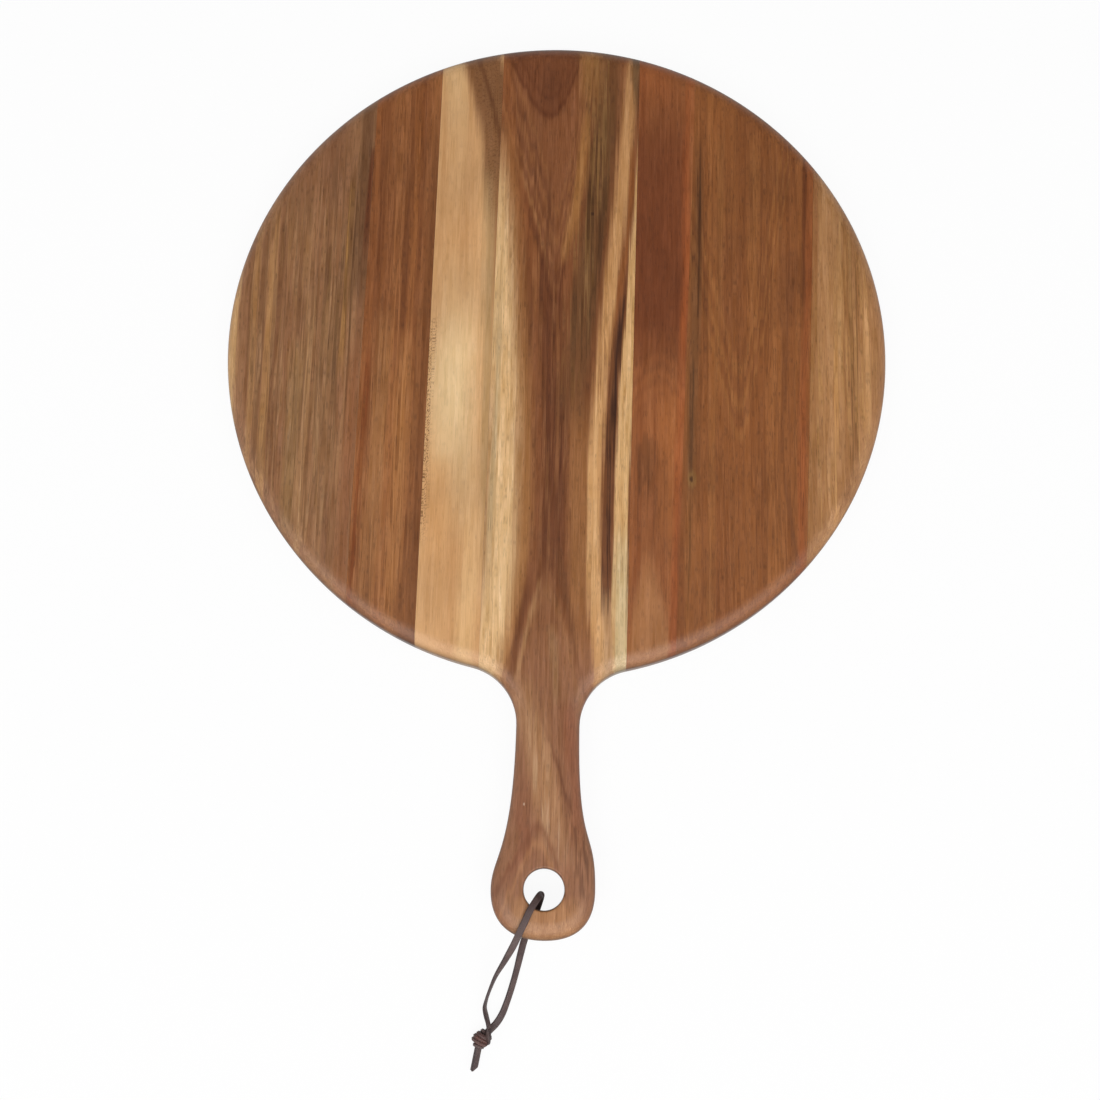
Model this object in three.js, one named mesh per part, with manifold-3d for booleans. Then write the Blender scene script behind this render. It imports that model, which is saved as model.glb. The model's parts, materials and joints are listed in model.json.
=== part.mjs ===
// A round wooden serving board with a handle: seven acacia planks glued edge to edge, and a
// leather thong tied in a loop through the hanging hole.
// Millimetres, +Z up. The origin is the middle of the round on the face that the board rests on,
// and the handle points to -Y.
import * as THREE from "three";
import { mergeVertices } from "three/addons/utils/BufferGeometryUtils.js";
import Module from "manifold-3d";

// The round
const ROUND_DIAMETER = 300;
const BOARD_THICKNESS = 15;
const EDGE_RADIUS = 5.5; // round-over along both faces

// The handle, sawn from the widest plank: a neck that swells to a bulb with the hanging hole
const HANDLE_LENGTH = 112.2; // from the round's edge to the handle's end
const NECK_WIDTH = 27.5;
const NECK_FILLET = 26; // radius between the round and the neck
const BULB_LEFT = 22.7; // from the handle's axis to the bulb's left side
const BULB_RIGHT = 21.8; // and to its right side, a little flatter
const BULB_FROM_END = 21; // the bulb's widest place, from the handle's end
const BULB_CORNER_PULL = 10.5; // how far the bulb's sides run on before they turn in
const BULB_END_FLAT = 17.5; // how far the end stays straight, each way from the axis
const NECK_PULL = 55; // how slowly the neck starts to swell
const BULB_PULL = 29; // how early the swelling runs out into the bulb
const HOLE_DIAMETER = 17.5;
const HOLE_FROM_END = 21.2;
const HOLE_EDGE_RADIUS = 1;
const FINGER_LIFT_LENGTH = 62; // the underside rises over this length to the handle's end

// The planks, each named width measured across the middle of the round
const LEFT_MIDDLE_PLANK = 30.6;
const LEFT_INNER_PLANK = 28.5;
const HANDLE_PLANK = 64.3;
const HANDLE_PLANK_OFFSET = 2.65; // the handle plank's middle, to the right of the handle's axis
const RIGHT_INNER_PLANK = 24.1;
const RIGHT_MIDDLE_PLANK = 56.4;
const SEAM_LEAN = 0.5; // degrees that the glue seams lean to the right of the handle's axis
const LEFT_OUTER_SEAM_LEAN = 0.8;
const RIGHT_SEAM_LEAN = 1.5;
const GLUE_LINE = 0.2; // gap that the glue fills between two planks

// The thong: a flat leather lace, folded through the hole and tied in one knot
const LACE_WIDTH = 3;
const LACE_THICKNESS = 1.2;
const LACE_EDGE = 0.35; // broken corner of the lace's section
const LACE_CLEARANCE = 0.3; // gap to the board, the knot and the other strand
const TABLE_CLEARANCE = 0.1; // gap to the table that the board lies on
const KNOT_LENGTH = 9.2;
const KNOT_CREST = 3.4; // radius over a wrap
const KNOT_VALLEY = 2.7; // radius between two wraps
const KNOT_END = 2; // radius of the knot's two ends
const KNOT_WRAPS = 3;
const KNOT_FLATTENING = 0.86; // the knot's height over its width
const TAIL_LENGTH = 7.6;
const TAIL_CUT = 2; // how far the slanted cut runs along the tail

// How finely curves are drawn
const ROUND_STEPS = 64; // an arc takes two points to each step
const FILLET_STEPS = 5;
const HANDLE_STEPS = 12;
const EDGE_STEPS = 4;
const HOLE_STEPS = 40;
const LACE_STEPS = 64;
const KNOT_STEPS = 16;
const WRAP_STEPS = 4;
const LACE_STEADINESS = 0.3; // how much of its last direction the lace's width keeps at each step
const WELD_DISTANCE = 1e-4; // points closer than this are one point

// Places that follow from the sizes
const roundRadius = ROUND_DIAMETER / 2;
const handleEnd = -(roundRadius + HANDLE_LENGTH);
const holeY = handleEnd + HOLE_FROM_END;
const laceLow = TABLE_CLEARANCE + LACE_THICKNESS / 2; // middle of the lace on the table
const laceTop = BOARD_THICKNESS + LACE_CLEARANCE + LACE_THICKNESS / 2; // and on the board
const thongRoom = LACE_THICKNESS + 2 * LACE_CLEARANCE; // under the board at the hole
const liftSlope = thongRoom / (FINGER_LIFT_LENGTH - HOLE_FROM_END);
const beyond = 2 * (ROUND_DIAMETER + HANDLE_LENGTH); // past every side of the board

const wasm = await Module();
wasm.setup();

// A closed geometry as a solid that can be cut and joined.
function solidOf(geometry) {
  const bare = geometry.clone();
  bare.deleteAttribute("normal");
  bare.deleteAttribute("uv");
  const merged = mergeVertices(bare, WELD_DISTANCE);
  return new wasm.Manifold(
    new wasm.Mesh({
      numProp: 3,
      vertProperties: merged.attributes.position.array,
      triVerts: new Uint32Array(merged.index.array),
    }),
  );
}

// A solid as a geometry that a mesh can hold.
function geometryOf(solid) {
  const mesh = solid.getMesh();
  const geometry = new THREE.BufferGeometry();
  geometry.setAttribute("position", new THREE.BufferAttribute(mesh.vertProperties, 3));
  geometry.setIndex(new THREE.BufferAttribute(mesh.triVerts, 1));
  geometry.computeVertexNormals();
  return geometry;
}

// Points of the board's outline, anticlockwise from above, starting where the right fillet ends.
function boardOutline() {
  const neck = NECK_WIDTH / 2;
  const filletX = neck + NECK_FILLET;
  const filletY = -Math.sqrt((roundRadius + NECK_FILLET) ** 2 - filletX ** 2);
  const tangent = Math.atan2(filletY, filletX); // direction of the fillet's centre, on the right
  const bulbY = handleEnd + BULB_FROM_END;
  const outline = new THREE.Path();
  outline.absarc(0, 0, roundRadius, tangent, Math.PI - tangent, false);
  const points = outline.getPoints(ROUND_STEPS);
  points.push(...fillet(-filletX, filletY, -tangent, 0).slice(1));
  points.push(...handleSide(-neck, filletY, -BULB_LEFT, bulbY).slice(1));
  points.push(...handleSide(neck, filletY, BULB_RIGHT, bulbY).reverse().slice(1));
  points.push(...fillet(filletX, filletY, Math.PI, Math.PI + tangent).slice(1, -1));
  return points;
}

// The hollow arc between the round and the neck.
function fillet(x, y, start, end) {
  const arc = new THREE.Path();
  arc.absarc(x, y, NECK_FILLET, start, end, true);
  return arc.getPoints(FILLET_STEPS);
}

// One side of the handle, from the neck down to the middle of its end.
function handleSide(neckX, neckY, bulbX, bulbY) {
  const side = new THREE.Path();
  side.moveTo(neckX, neckY);
  side.bezierCurveTo(neckX, neckY - NECK_PULL, bulbX, bulbY + BULB_PULL, bulbX, bulbY);
  const cornerX = Math.sign(bulbX) * BULB_END_FLAT;
  side.bezierCurveTo(bulbX, bulbY - BULB_CORNER_PULL, cornerX, handleEnd, 0, handleEnd);
  return side.getPoints(HANDLE_STEPS);
}

// The whole board before it is divided into planks.
function boardSolid() {
  const body = new THREE.ExtrudeGeometry(new THREE.Shape(boardOutline()), {
    depth: BOARD_THICKNESS - 2 * EDGE_RADIUS,
    bevelThickness: EDGE_RADIUS,
    bevelSize: EDGE_RADIUS,
    bevelOffset: -EDGE_RADIUS,
    bevelSegments: EDGE_STEPS,
  });
  body.translate(0, 0, EDGE_RADIUS);
  return solidOf(body).subtract(holeCutter()).subtract(fingerLift());
}

// The hanging hole, with its two edges rounded over.
function holeCutter() {
  const radius = HOLE_DIAMETER / 2;
  const flare = radius + HOLE_EDGE_RADIUS;
  const roundOver = (middle, start) =>
    Array.from({ length: EDGE_STEPS + 1 }, (_, i) => {
      const angle = start + ((i / EDGE_STEPS) * Math.PI) / 2;
      const x = flare - HOLE_EDGE_RADIUS * Math.cos(angle);
      return new THREE.Vector2(x, middle + HOLE_EDGE_RADIUS * Math.sin(angle));
    });
  const profile = [
    new THREE.Vector2(0, -HOLE_EDGE_RADIUS),
    new THREE.Vector2(flare, -HOLE_EDGE_RADIUS),
    ...roundOver(thongRoom + HOLE_EDGE_RADIUS, -Math.PI / 2),
    ...roundOver(BOARD_THICKNESS - HOLE_EDGE_RADIUS, 0),
    new THREE.Vector2(flare, BOARD_THICKNESS + HOLE_EDGE_RADIUS),
    new THREE.Vector2(0, BOARD_THICKNESS + HOLE_EDGE_RADIUS),
  ];
  const cutter = new THREE.LatheGeometry(profile, HOLE_STEPS);
  cutter.rotateX(Math.PI / 2);
  cutter.translate(0, holeY, 0);
  return solidOf(cutter);
}

// What is cut from under the handle, so that fingers and the thong pass below it.
function fingerLift() {
  const start = handleEnd + FINGER_LIFT_LENGTH;
  const past = FINGER_LIFT_LENGTH + HOLE_FROM_END;
  const side = new THREE.Shape();
  side.moveTo(start, 0);
  side.lineTo(start - past, past * liftSlope);
  side.lineTo(start - past, -BOARD_THICKNESS);
  side.lineTo(start, -BOARD_THICKNESS);
  const wedge = new THREE.ExtrudeGeometry(side, { depth: ROUND_DIAMETER, bevelEnabled: false });
  wedge.rotateY(Math.PI / 2);
  wedge.rotateX(Math.PI / 2);
  wedge.translate(-roundRadius, 0, 0);
  return solidOf(wedge);
}

// A slab between two lines across the board, each given by its place at y = 0 and its lean.
function slab(left, right) {
  const edge = (line, y) => line.at + y * Math.tan(THREE.MathUtils.degToRad(line.lean));
  const plan = new THREE.Shape();
  plan.moveTo(edge(left, -beyond) + GLUE_LINE / 2, -beyond);
  plan.lineTo(edge(right, -beyond) - GLUE_LINE / 2, -beyond);
  plan.lineTo(edge(right, beyond) - GLUE_LINE / 2, beyond);
  plan.lineTo(edge(left, beyond) + GLUE_LINE / 2, beyond);
  return upright(plan);
}

// Everything beyond the round on the handle's side.
function handleZone() {
  const plan = new THREE.Shape();
  plan.moveTo(-beyond, -beyond);
  plan.lineTo(beyond, -beyond);
  plan.lineTo(beyond, -roundRadius);
  plan.lineTo(-beyond, -roundRadius);
  return upright(plan);
}

// A plan drawn out to reach past both faces of the board.
function upright(plan) {
  const prism = new THREE.ExtrudeGeometry(plan, { depth: 3 * BOARD_THICKNESS, bevelEnabled: false });
  prism.translate(0, 0, -BOARD_THICKNESS);
  return solidOf(prism);
}

// The glue seams from left to right, between the two open sides.
function seamLines() {
  const handleLeft = HANDLE_PLANK_OFFSET - HANDLE_PLANK / 2;
  const handleRight = HANDLE_PLANK_OFFSET + HANDLE_PLANK / 2;
  const rightMiddle = handleRight + RIGHT_INNER_PLANK;
  return [
    { at: -beyond, lean: 0 },
    { at: handleLeft - LEFT_INNER_PLANK - LEFT_MIDDLE_PLANK, lean: LEFT_OUTER_SEAM_LEAN },
    { at: handleLeft - LEFT_INNER_PLANK, lean: SEAM_LEAN },
    { at: handleLeft, lean: SEAM_LEAN },
    { at: handleRight, lean: SEAM_LEAN },
    { at: rightMiddle, lean: RIGHT_SEAM_LEAN },
    { at: rightMiddle + RIGHT_MIDDLE_PLANK, lean: RIGHT_SEAM_LEAN },
    { at: beyond, lean: 0 },
  ];
}

// The thong's route, from the knot along the upper strand to the hole, down through it, and back
// along the lower strand. Each point is x and y from the middle of the hole, the height of the
// lace's middle, and its twist in degrees: 0 lies flat and 90 stands on edge.
const laceHeight = laceTop - laceLow;
const THONG_ROUTE = [
  [-21.6, -58.2, 4.7, 0],
  [-22.2, -55.8, 4.3, 25],
  [-23.2, -52.6, 3.4, 60],
  [-23.9, -49.4, 2.6, 85],
  [-23.3, -46.2, 2.7, 90],
  [-22.2, -42.8, 3.7, 85],
  [-19.6, -36.4, 7.0, 65],
  [-15.7, -29.6, 11.2, 35],
  [-12.2, -23.2, 14.6, 10],
  [-10.2, -18.8, laceTop - LACE_CLEARANCE, 0],
  [-7.9, -13.7, laceTop, 0],
  [-5.6, -8.6, laceTop, 0],
  [-3.62, -5.27, laceLow + 0.945 * laceHeight, 0],
  [-2.07, -2.89, laceLow + 0.75 * laceHeight, 0],
  [-1.26, -2.12, laceLow + 0.5 * laceHeight, 0],
  [-1.31, -3.23, laceLow + 0.25 * laceHeight, 0],
  [-2.11, -5.97, laceLow + 0.07 * laceHeight, 0],
  [-3.33, -9.64, laceLow + 0.01 * laceHeight, 0],
  [-5.6, -15.2, laceLow, 0],
  [-7.8, -20.9, laceLow, 0],
  [-9.2, -26.4, 0.9, -8],
  [-10.7, -33.1, 1.3, -25],
  [-12.4, -39.8, 1.5, -35],
  [-14.4, -46.4, 1.5, -35],
  [-16.6, -52.2, 1.4, -25],
  [-18.9, -55.9, 1.2, -8],
  [-21.2, -58.3, 1.2, 0],
];
const KNOT_START = new THREE.Vector3(-22.1, -59.4, KNOT_CREST * KNOT_FLATTENING + TABLE_CLEARANCE);
const KNOT_HEADING = 27; // degrees from -Y towards -X
const TAILS = [
  { name: "thong_tail_lower", across: -0.4, heading: 10 },
  { name: "thong_tail_upper", across: 0.5, heading: 8 },
];

// A curve through the route whose frames carry the lace's width: level, also where the lace runs
// straight down, and turned by the twist.
class LaceRoute extends THREE.CatmullRomCurve3 {
  constructor(route) {
    super(route.map(([x, y, z]) => new THREE.Vector3(x, y, z)));
    this.twists = route.map((point) => THREE.MathUtils.degToRad(point[3]));
  }

  twistAt(u) {
    const place = this.getUtoTmapping(u) * (this.twists.length - 1);
    const before = Math.min(Math.floor(place), this.twists.length - 2);
    return THREE.MathUtils.lerp(this.twists[before], this.twists[before + 1], place - before);
  }

  computeFrenetFrames(segments) {
    const tangents = [];
    const normals = [];
    const binormals = [];
    const up = new THREE.Vector3(0, 0, 1);
    let width = null;
    for (let i = 0; i <= segments; i++) {
      const tangent = this.getTangentAt(i / segments);
      const level = new THREE.Vector3().crossVectors(tangent, up);
      if (width) {
        if (level.dot(width) < 0) level.negate();
        level.addScaledVector(width, LACE_STEADINESS);
        level.addScaledVector(tangent, -level.dot(tangent));
      }
      width = level.normalize();
      const normal = width.clone().applyAxisAngle(tangent, this.twistAt(i / segments));
      tangents.push(tangent);
      normals.push(normal);
      binormals.push(new THREE.Vector3().crossVectors(tangent, normal));
    }
    return { tangents, normals, binormals };
  }
}

// The lace's section: a flat strip with broken corners.
function laceSection() {
  const x = LACE_WIDTH / 2;
  const y = LACE_THICKNESS / 2;
  const section = new THREE.Shape();
  section.moveTo(x, LACE_EDGE - y);
  section.lineTo(x, y - LACE_EDGE);
  section.lineTo(x - LACE_EDGE, y);
  section.lineTo(LACE_EDGE - x, y);
  section.lineTo(-x, y - LACE_EDGE);
  section.lineTo(-x, LACE_EDGE - y);
  section.lineTo(LACE_EDGE - x, -y);
  section.lineTo(x - LACE_EDGE, -y);
  return section;
}

// The knot: the lace's wraps, one beside the other, turned round the knot's axis.
function knotGeometry() {
  const profile = [new THREE.Vector2(0, 0), new THREE.Vector2(KNOT_END, 0)];
  const count = KNOT_WRAPS * WRAP_STEPS;
  for (let i = 0; i < count; i++) {
    const place = (i + 0.5) / count;
    const swell = Math.abs(Math.sin(place * KNOT_WRAPS * Math.PI));
    const radius = KNOT_VALLEY + (KNOT_CREST - KNOT_VALLEY) * swell;
    profile.push(new THREE.Vector2(radius, place * KNOT_LENGTH));
  }
  profile.push(new THREE.Vector2(KNOT_END, KNOT_LENGTH), new THREE.Vector2(0, KNOT_LENGTH));
  return new THREE.LatheGeometry(profile, KNOT_STEPS);
}

// A free end of the lace, lying flat, with its slanted cut.
function tailGeometry() {
  const plan = new THREE.Shape();
  plan.moveTo(-LACE_WIDTH / 2, 0);
  plan.lineTo(-LACE_WIDTH / 2, -TAIL_LENGTH);
  plan.lineTo(LACE_WIDTH / 2, TAIL_CUT - TAIL_LENGTH);
  plan.lineTo(LACE_WIDTH / 2, 0);
  return new THREE.ExtrudeGeometry(plan, { depth: LACE_THICKNESS, bevelEnabled: false });
}

function wood(colour) {
  return new THREE.MeshStandardMaterial({ color: colour, roughness: 0.5, metalness: 0 });
}

function leather() {
  return new THREE.MeshStandardMaterial({ color: "#4a3b38", roughness: 0.8, metalness: 0 });
}

function addMesh(parent, name, geometry, material) {
  const mesh = new THREE.Mesh(geometry, material);
  mesh.name = name;
  parent.add(mesh);
  return mesh;
}

const PLANKS = [
  { name: "plank_left_outer", colour: "#8a6244" },
  { name: "plank_left_middle", colour: "#925f38" },
  { name: "plank_left_inner", colour: "#cda571" },
  { name: "plank_handle", colour: "#8f6346" },
  { name: "plank_right_inner", colour: "#8c5531" },
  { name: "plank_right_middle", colour: "#8b5a34" },
  { name: "plank_right_outer", colour: "#a87a4d" },
];

// The seven planks: the board divided at its seams, with the handle all on its own plank.
function addPlanks(parent) {
  const board = boardSolid();
  const seams = seamLines();
  const handle = handleZone();
  PLANKS.forEach(({ name, colour }, i) => {
    const between = slab(seams[i], seams[i + 1]);
    const cutter = name === "plank_handle" ? between.add(handle) : between.subtract(handle);
    addMesh(parent, name, geometryOf(board.intersect(cutter)), wood(colour));
  });
}

// The thong, placed from the middle of the hanging hole.
function addThong(parent) {
  const thong = new THREE.Group();
  thong.position.set(0, holeY, 0);
  parent.add(thong);
  const loop = new THREE.ExtrudeGeometry(laceSection(), {
    steps: LACE_STEPS,
    extrudePath: new LaceRoute(THONG_ROUTE),
  });
  addMesh(thong, "thong_loop", loop, leather());

  const turned = new THREE.Group();
  turned.position.copy(KNOT_START);
  turned.rotation.z = -THREE.MathUtils.degToRad(KNOT_HEADING);
  thong.add(turned);
  const knot = addMesh(turned, "thong_knot", knotGeometry(), leather());
  knot.rotation.z = Math.PI;
  knot.scale.z = KNOT_FLATTENING;
  TAILS.forEach(({ name, across, heading }, i) => {
    const tail = addMesh(turned, name, tailGeometry(), leather());
    const turn = THREE.MathUtils.degToRad(KNOT_HEADING - heading);
    const gap = LACE_CLEARANCE + (LACE_WIDTH / 2) * Math.sin(turn); // the turned corner's gap
    const height = TABLE_CLEARANCE + i * (LACE_THICKNESS + LACE_CLEARANCE);
    tail.position.set(across, -(KNOT_LENGTH + gap), height - KNOT_START.z);
    tail.rotation.z = turn;
  });
}

const servingBoard = new THREE.Group();
addPlanks(servingBoard);
addThong(servingBoard);

export default servingBoard;
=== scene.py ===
"""A round serving board of edge-glued acacia planks, with a leather thong through its handle."""
import json
import math
from collections import namedtuple

import bmesh
import bpy
from bpy.props import FloatProperty, FloatVectorProperty, PointerProperty
from bpy.types import Operator, Panel, PropertyGroup
from mathutils import Matrix, Vector
from mathutils.geometry import interpolate_bezier


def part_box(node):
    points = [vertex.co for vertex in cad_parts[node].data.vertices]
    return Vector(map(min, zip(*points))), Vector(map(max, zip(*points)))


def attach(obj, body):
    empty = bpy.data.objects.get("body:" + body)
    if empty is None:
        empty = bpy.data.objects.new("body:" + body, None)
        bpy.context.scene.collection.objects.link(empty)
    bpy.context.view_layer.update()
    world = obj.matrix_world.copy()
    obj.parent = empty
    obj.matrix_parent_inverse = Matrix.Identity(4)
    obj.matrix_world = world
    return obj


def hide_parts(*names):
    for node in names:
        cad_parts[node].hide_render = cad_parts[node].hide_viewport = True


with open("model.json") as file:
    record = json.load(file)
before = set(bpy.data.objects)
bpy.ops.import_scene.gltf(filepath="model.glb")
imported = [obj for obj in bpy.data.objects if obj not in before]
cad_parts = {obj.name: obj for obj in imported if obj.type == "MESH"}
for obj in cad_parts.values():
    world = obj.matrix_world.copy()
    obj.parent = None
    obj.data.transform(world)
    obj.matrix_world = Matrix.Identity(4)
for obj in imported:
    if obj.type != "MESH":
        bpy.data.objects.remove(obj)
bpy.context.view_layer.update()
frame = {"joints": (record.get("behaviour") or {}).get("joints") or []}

bl_info = {
    "name": "Acacia serving board",
    "version": (1, 0, 0),
    "blender": (4, 5, 0),
    "location": "View3D > Sidebar > Serving board",
    "description": "Makes a round serving board of glued planks with a leather thong",
    "category": "Add Mesh",
}

MM = 0.001
BOARD_LOW, BOARD_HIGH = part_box("plank_handle")
HOLE = Vector(frame["joints"][0]["pos_m"])


def linear(code):
    """An sRGB hex colour as linear red, green and blue."""
    parts = [int(code[i:i + 2], 16) / 255 for i in (1, 3, 5)]
    return [p / 12.92 if p <= 0.04045 else ((p + 0.055) / 1.055) ** 2.4 for p in parts]


def size(name, description, default):
    """A length that a user may change, in metres."""
    return FloatProperty(
        name=name, description=description, default=default, unit="LENGTH", subtype="DISTANCE"
    )


def tone(name, description, code):
    """A colour that a user may change, from its sRGB hex value."""
    return FloatVectorProperty(
        name=name, description=description, default=linear(code), subtype="COLOR", min=0, max=1
    )


def watts(name, description, default):
    """A light's power that a user may change."""
    return FloatProperty(name=name, description=description, default=default, unit="POWER")


class ServingBoardSizes(PropertyGroup):
    """Sizes of the board's wood."""

    round_radius: size("Round radius", "Radius of the round", BOARD_HIGH.y)
    thickness: size("Thickness", "Thickness of the planks", BOARD_HIGH.z)
    lower_radius: size("Lower edge radius", "Round-over along the underside", 5.5 * MM)
    edge_depth: size("Upper edge depth", "How far the upper round-over reaches down", 4 * MM)
    edge_width: size("Upper edge width", "How far the upper round-over reaches in", 8 * MM)
    neck_width: size("Neck width", "Width of the handle at its neck", 27.5 * MM)
    neck_fillet: size("Neck fillet", "Radius between the round and the neck", 26 * MM)
    neck_pull: size("Neck pull", "How slowly the neck starts to swell", 55 * MM)
    bulb_left: size("Bulb left", "From the handle's axis to the bulb's left side", 22.7 * MM)
    bulb_right: size("Bulb right", "From the handle's axis to the bulb's right side", 21.8 * MM)
    bulb_from_end: size("Bulb from end", "The bulb's widest place from the end", 21 * MM)
    pull_left: size("Bulb pull left", "How early the left side runs out into the bulb", 14 * MM)
    pull_right: size("Bulb pull right", "How early the right side runs out into the bulb", 28 * MM)
    bulb_corner_pull: size("Bulb corner", "How far the sides run on before they turn in", 10.5 * MM)
    bulb_end_flat: size("Bulb end", "How far the end stays straight from the axis", 17.5 * MM)
    hole_diameter: size("Hole diameter", "Diameter of the hanging hole", 17.5 * MM)
    hole_edge_radius: size("Hole edge radius", "Round-over of the hole's edges", 1 * MM)
    lift_length: size("Lift length", "The underside rises over this length to the end", 62 * MM)
    lift_at_hole: size("Lift at the hole", "How far the underside has risen there", 1.8 * MM)
    glue_line: size("Glue line", "Gap that shows between two planks", 0.04 * MM)


class ServingBoardWood(PropertyGroup):
    """The ground colours of the planks, which their figure lies on."""

    left_outer_dark: tone("Left outer, dark", "Darker wood of that plank", "#805435")
    left_outer_light: tone("Left outer, light", "Lighter wood of that plank", "#966a46")
    left_middle_dark: tone("Left middle, dark", "Darker wood of that plank", "#7d4a27")
    left_middle_light: tone("Left middle, light", "Lighter wood of that plank", "#935d34")
    left_inner_dark: tone("Left inner, dark", "Darker wood of that plank", "#bf8e5d")
    left_inner_light: tone("Left inner, light", "Lighter wood of that plank", "#ce9e6c")
    handle_dark: tone("Handle, dark", "Darker wood of that plank", "#754322")
    handle_light: tone("Handle, light", "Lighter wood of that plank", "#86522f")
    right_inner_dark: tone("Right inner, dark", "Darker wood of that plank", "#854c27")
    right_inner_light: tone("Right inner, light", "Lighter wood of that plank", "#985d33")
    right_middle_dark: tone("Right middle, dark", "Darker wood of that plank", "#7e4923")
    right_middle_light: tone("Right middle, light", "Lighter wood of that plank", "#91592d")
    right_outer_dark: tone("Right outer, dark", "Darker wood of that plank", "#98683d")
    right_outer_light: tone("Right outer, light", "Lighter wood of that plank", "#b08053")


class ServingBoardThong(PropertyGroup):
    """Sizes and colours of the leather thong."""

    lace_width: size("Lace width", "Width of the flat lace", 3 * MM)
    lace_thickness: size("Lace thickness", "Thickness of the lace", 1.2 * MM)
    lace_edge: size("Lace edge", "Rounding of the lace's cut edges", 0.4 * MM)
    tail_length: size("Tail length", "Length of each free end", 7.6 * MM)
    tail_cut: size("Tail cut", "How far the slanted cut runs along the tail", 2 * MM)
    face: tone("Leather face", "Dyed face of the lace", "#43302e")
    worn: tone("Worn leather", "Rubbed places on the face", "#584541")
    edge: tone("Cut edge", "Raw cut edge of the lace", "#2c2022")
    flesh: tone("Flesh side", "Rough back of the lace", "#5a352d")


class ServingBoardStage(PropertyGroup):
    """The floor and the lights."""

    floor: tone("Floor", "Colour of the floor", "#e8e8e8")
    side: watts("Side", "Power of each side light", 6.5)
    front: watts("Front", "Power of the front light", 38.5)
    sky: FloatProperty(name="Sky", description="Strength of the light all round", default=0.2)


# Shaders

def node(tree, kind, links=None, **settings):
    """Adds a node with its settings. Each link is a socket or a value, by input name or number."""
    made = tree.nodes.new("ShaderNode" + kind)
    for name, value in settings.items():
        setattr(made, name, value)
    for key, value in (links or {}).items():
        if isinstance(value, bpy.types.NodeSocket):
            tree.links.new(value, made.inputs[key])
        else:
            made.inputs[key].default_value = value
    return made


def new_material(name):
    """An empty material with its node tree."""
    material = bpy.data.materials.new(name)
    material.use_nodes = True
    material.node_tree.nodes.clear()
    return material


def opaque(colour):
    """A linear colour with its alpha."""
    return (*colour, 1)


def span(low, high, first=0.0, last=1.0):
    """The ends of a range: values from low to high become values from first to last."""
    return {"From Min": low, "From Max": high, "To Min": first, "To Max": last}


def point_in_millimetres(tree):
    """The point on the piece, in the board's own frame."""
    coordinates = node(tree, "TexCoord")
    scale = (1 / MM, 1 / MM, 1 / MM)
    point = node(tree, "Mapping", {"Vector": coordinates.outputs["Object"], "Scale": scale})
    return point.outputs[0]


# A pattern in a material: its width across the grain and its length along it in millimetres, how many
# finer layers it has, the values between which it shows, and its place in the order of the patterns
Pattern = namedtuple("Pattern", "width length detail low high order")


def real_pattern(tree, point, pattern, seed, first=0.0, last=1.0):
    """A soft pattern at its real size, with values from first to last."""
    scale = (1 / pattern.width, 1 / pattern.length, 1 / pattern.width)
    stretched = node(tree, "Mapping", {"Vector": point, "Scale": scale})
    noise = node(tree, "TexNoise", {
        "Vector": stretched.outputs[0],
        "W": seed + pattern.order,
        "Scale": 1.0,
        "Detail": pattern.detail,
    }, noise_dimensions="4D")
    ends = span(pattern.low, pattern.high, first, last)
    return node(tree, "MapRange", {"Value": noise.outputs["Fac"], **ends}).outputs[0]


def laid_over(tree, ground, layers):
    """A ground colour with layers over it, each one a share from 0 to 1 and its colour."""
    for share, colour in layers:
        links = {0: share, 6: ground, 7: opaque(colour)}
        ground = node(tree, "Mix", links, data_type="RGBA").outputs[2]
    return ground


def shaded(tree, colour, shades):
    """A colour made darker or lighter by shades, each one a value about 1 and its strength."""
    for value, strength in shades:
        links = {0: strength, 6: colour, 7: value}
        colour = node(tree, "Mix", links, data_type="RGBA", blend_type="MULTIPLY").outputs[2]
    return colour


# Acacia: what one plank shows. Places and sizes are millimetres in the board's own frame.
# A streak runs along the grain through points of y, x and strength, with soft edges.
Streak = namedtuple("Streak", "tone half_width softness route")
# Lines are thin, broken lines of one tone where a streak of them lies, and flecks are torn fibres.
Lines = namedtuple("Lines", Streak._fields)
Flecks = namedtuple("Flecks", Streak._fields)
# An arch is the figure of a flat-sawn plank: an outline through points of x and y. It fills what
# lies above its outline on the board, or below it, or draws a line along it.
Arch = namedtuple("Arch", "tone strength softness fills outline")
ABOVE = 1
BELOW = -1
ALONG = 0
# A knot is an eye in the grain.
Knot = namedtuple("Knot", "tone x y radius strength")
EYE_LENGTH = 2  # times its width
EYE_EDGE = (0.5, 1.2)  # where its soft edge starts and ends, in radii
# A plank has a seed for its patterns, the strength of its ripples, streaks and pores, its brightness
# at places along the board, and its features from the lowest layer up.
Plank = namedtuple("Plank", "name seed ripples streaks pores brightness features")

# The part of the board's plane that the grain is drawn in
GRAIN_LOW = Vector((-155, -270))
GRAIN_HIGH = Vector((155, 155))
GRAIN_SIZE = GRAIN_HIGH - GRAIN_LOW
BRIGHTEST = 2  # what the top of a brightness curve stands for

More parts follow.
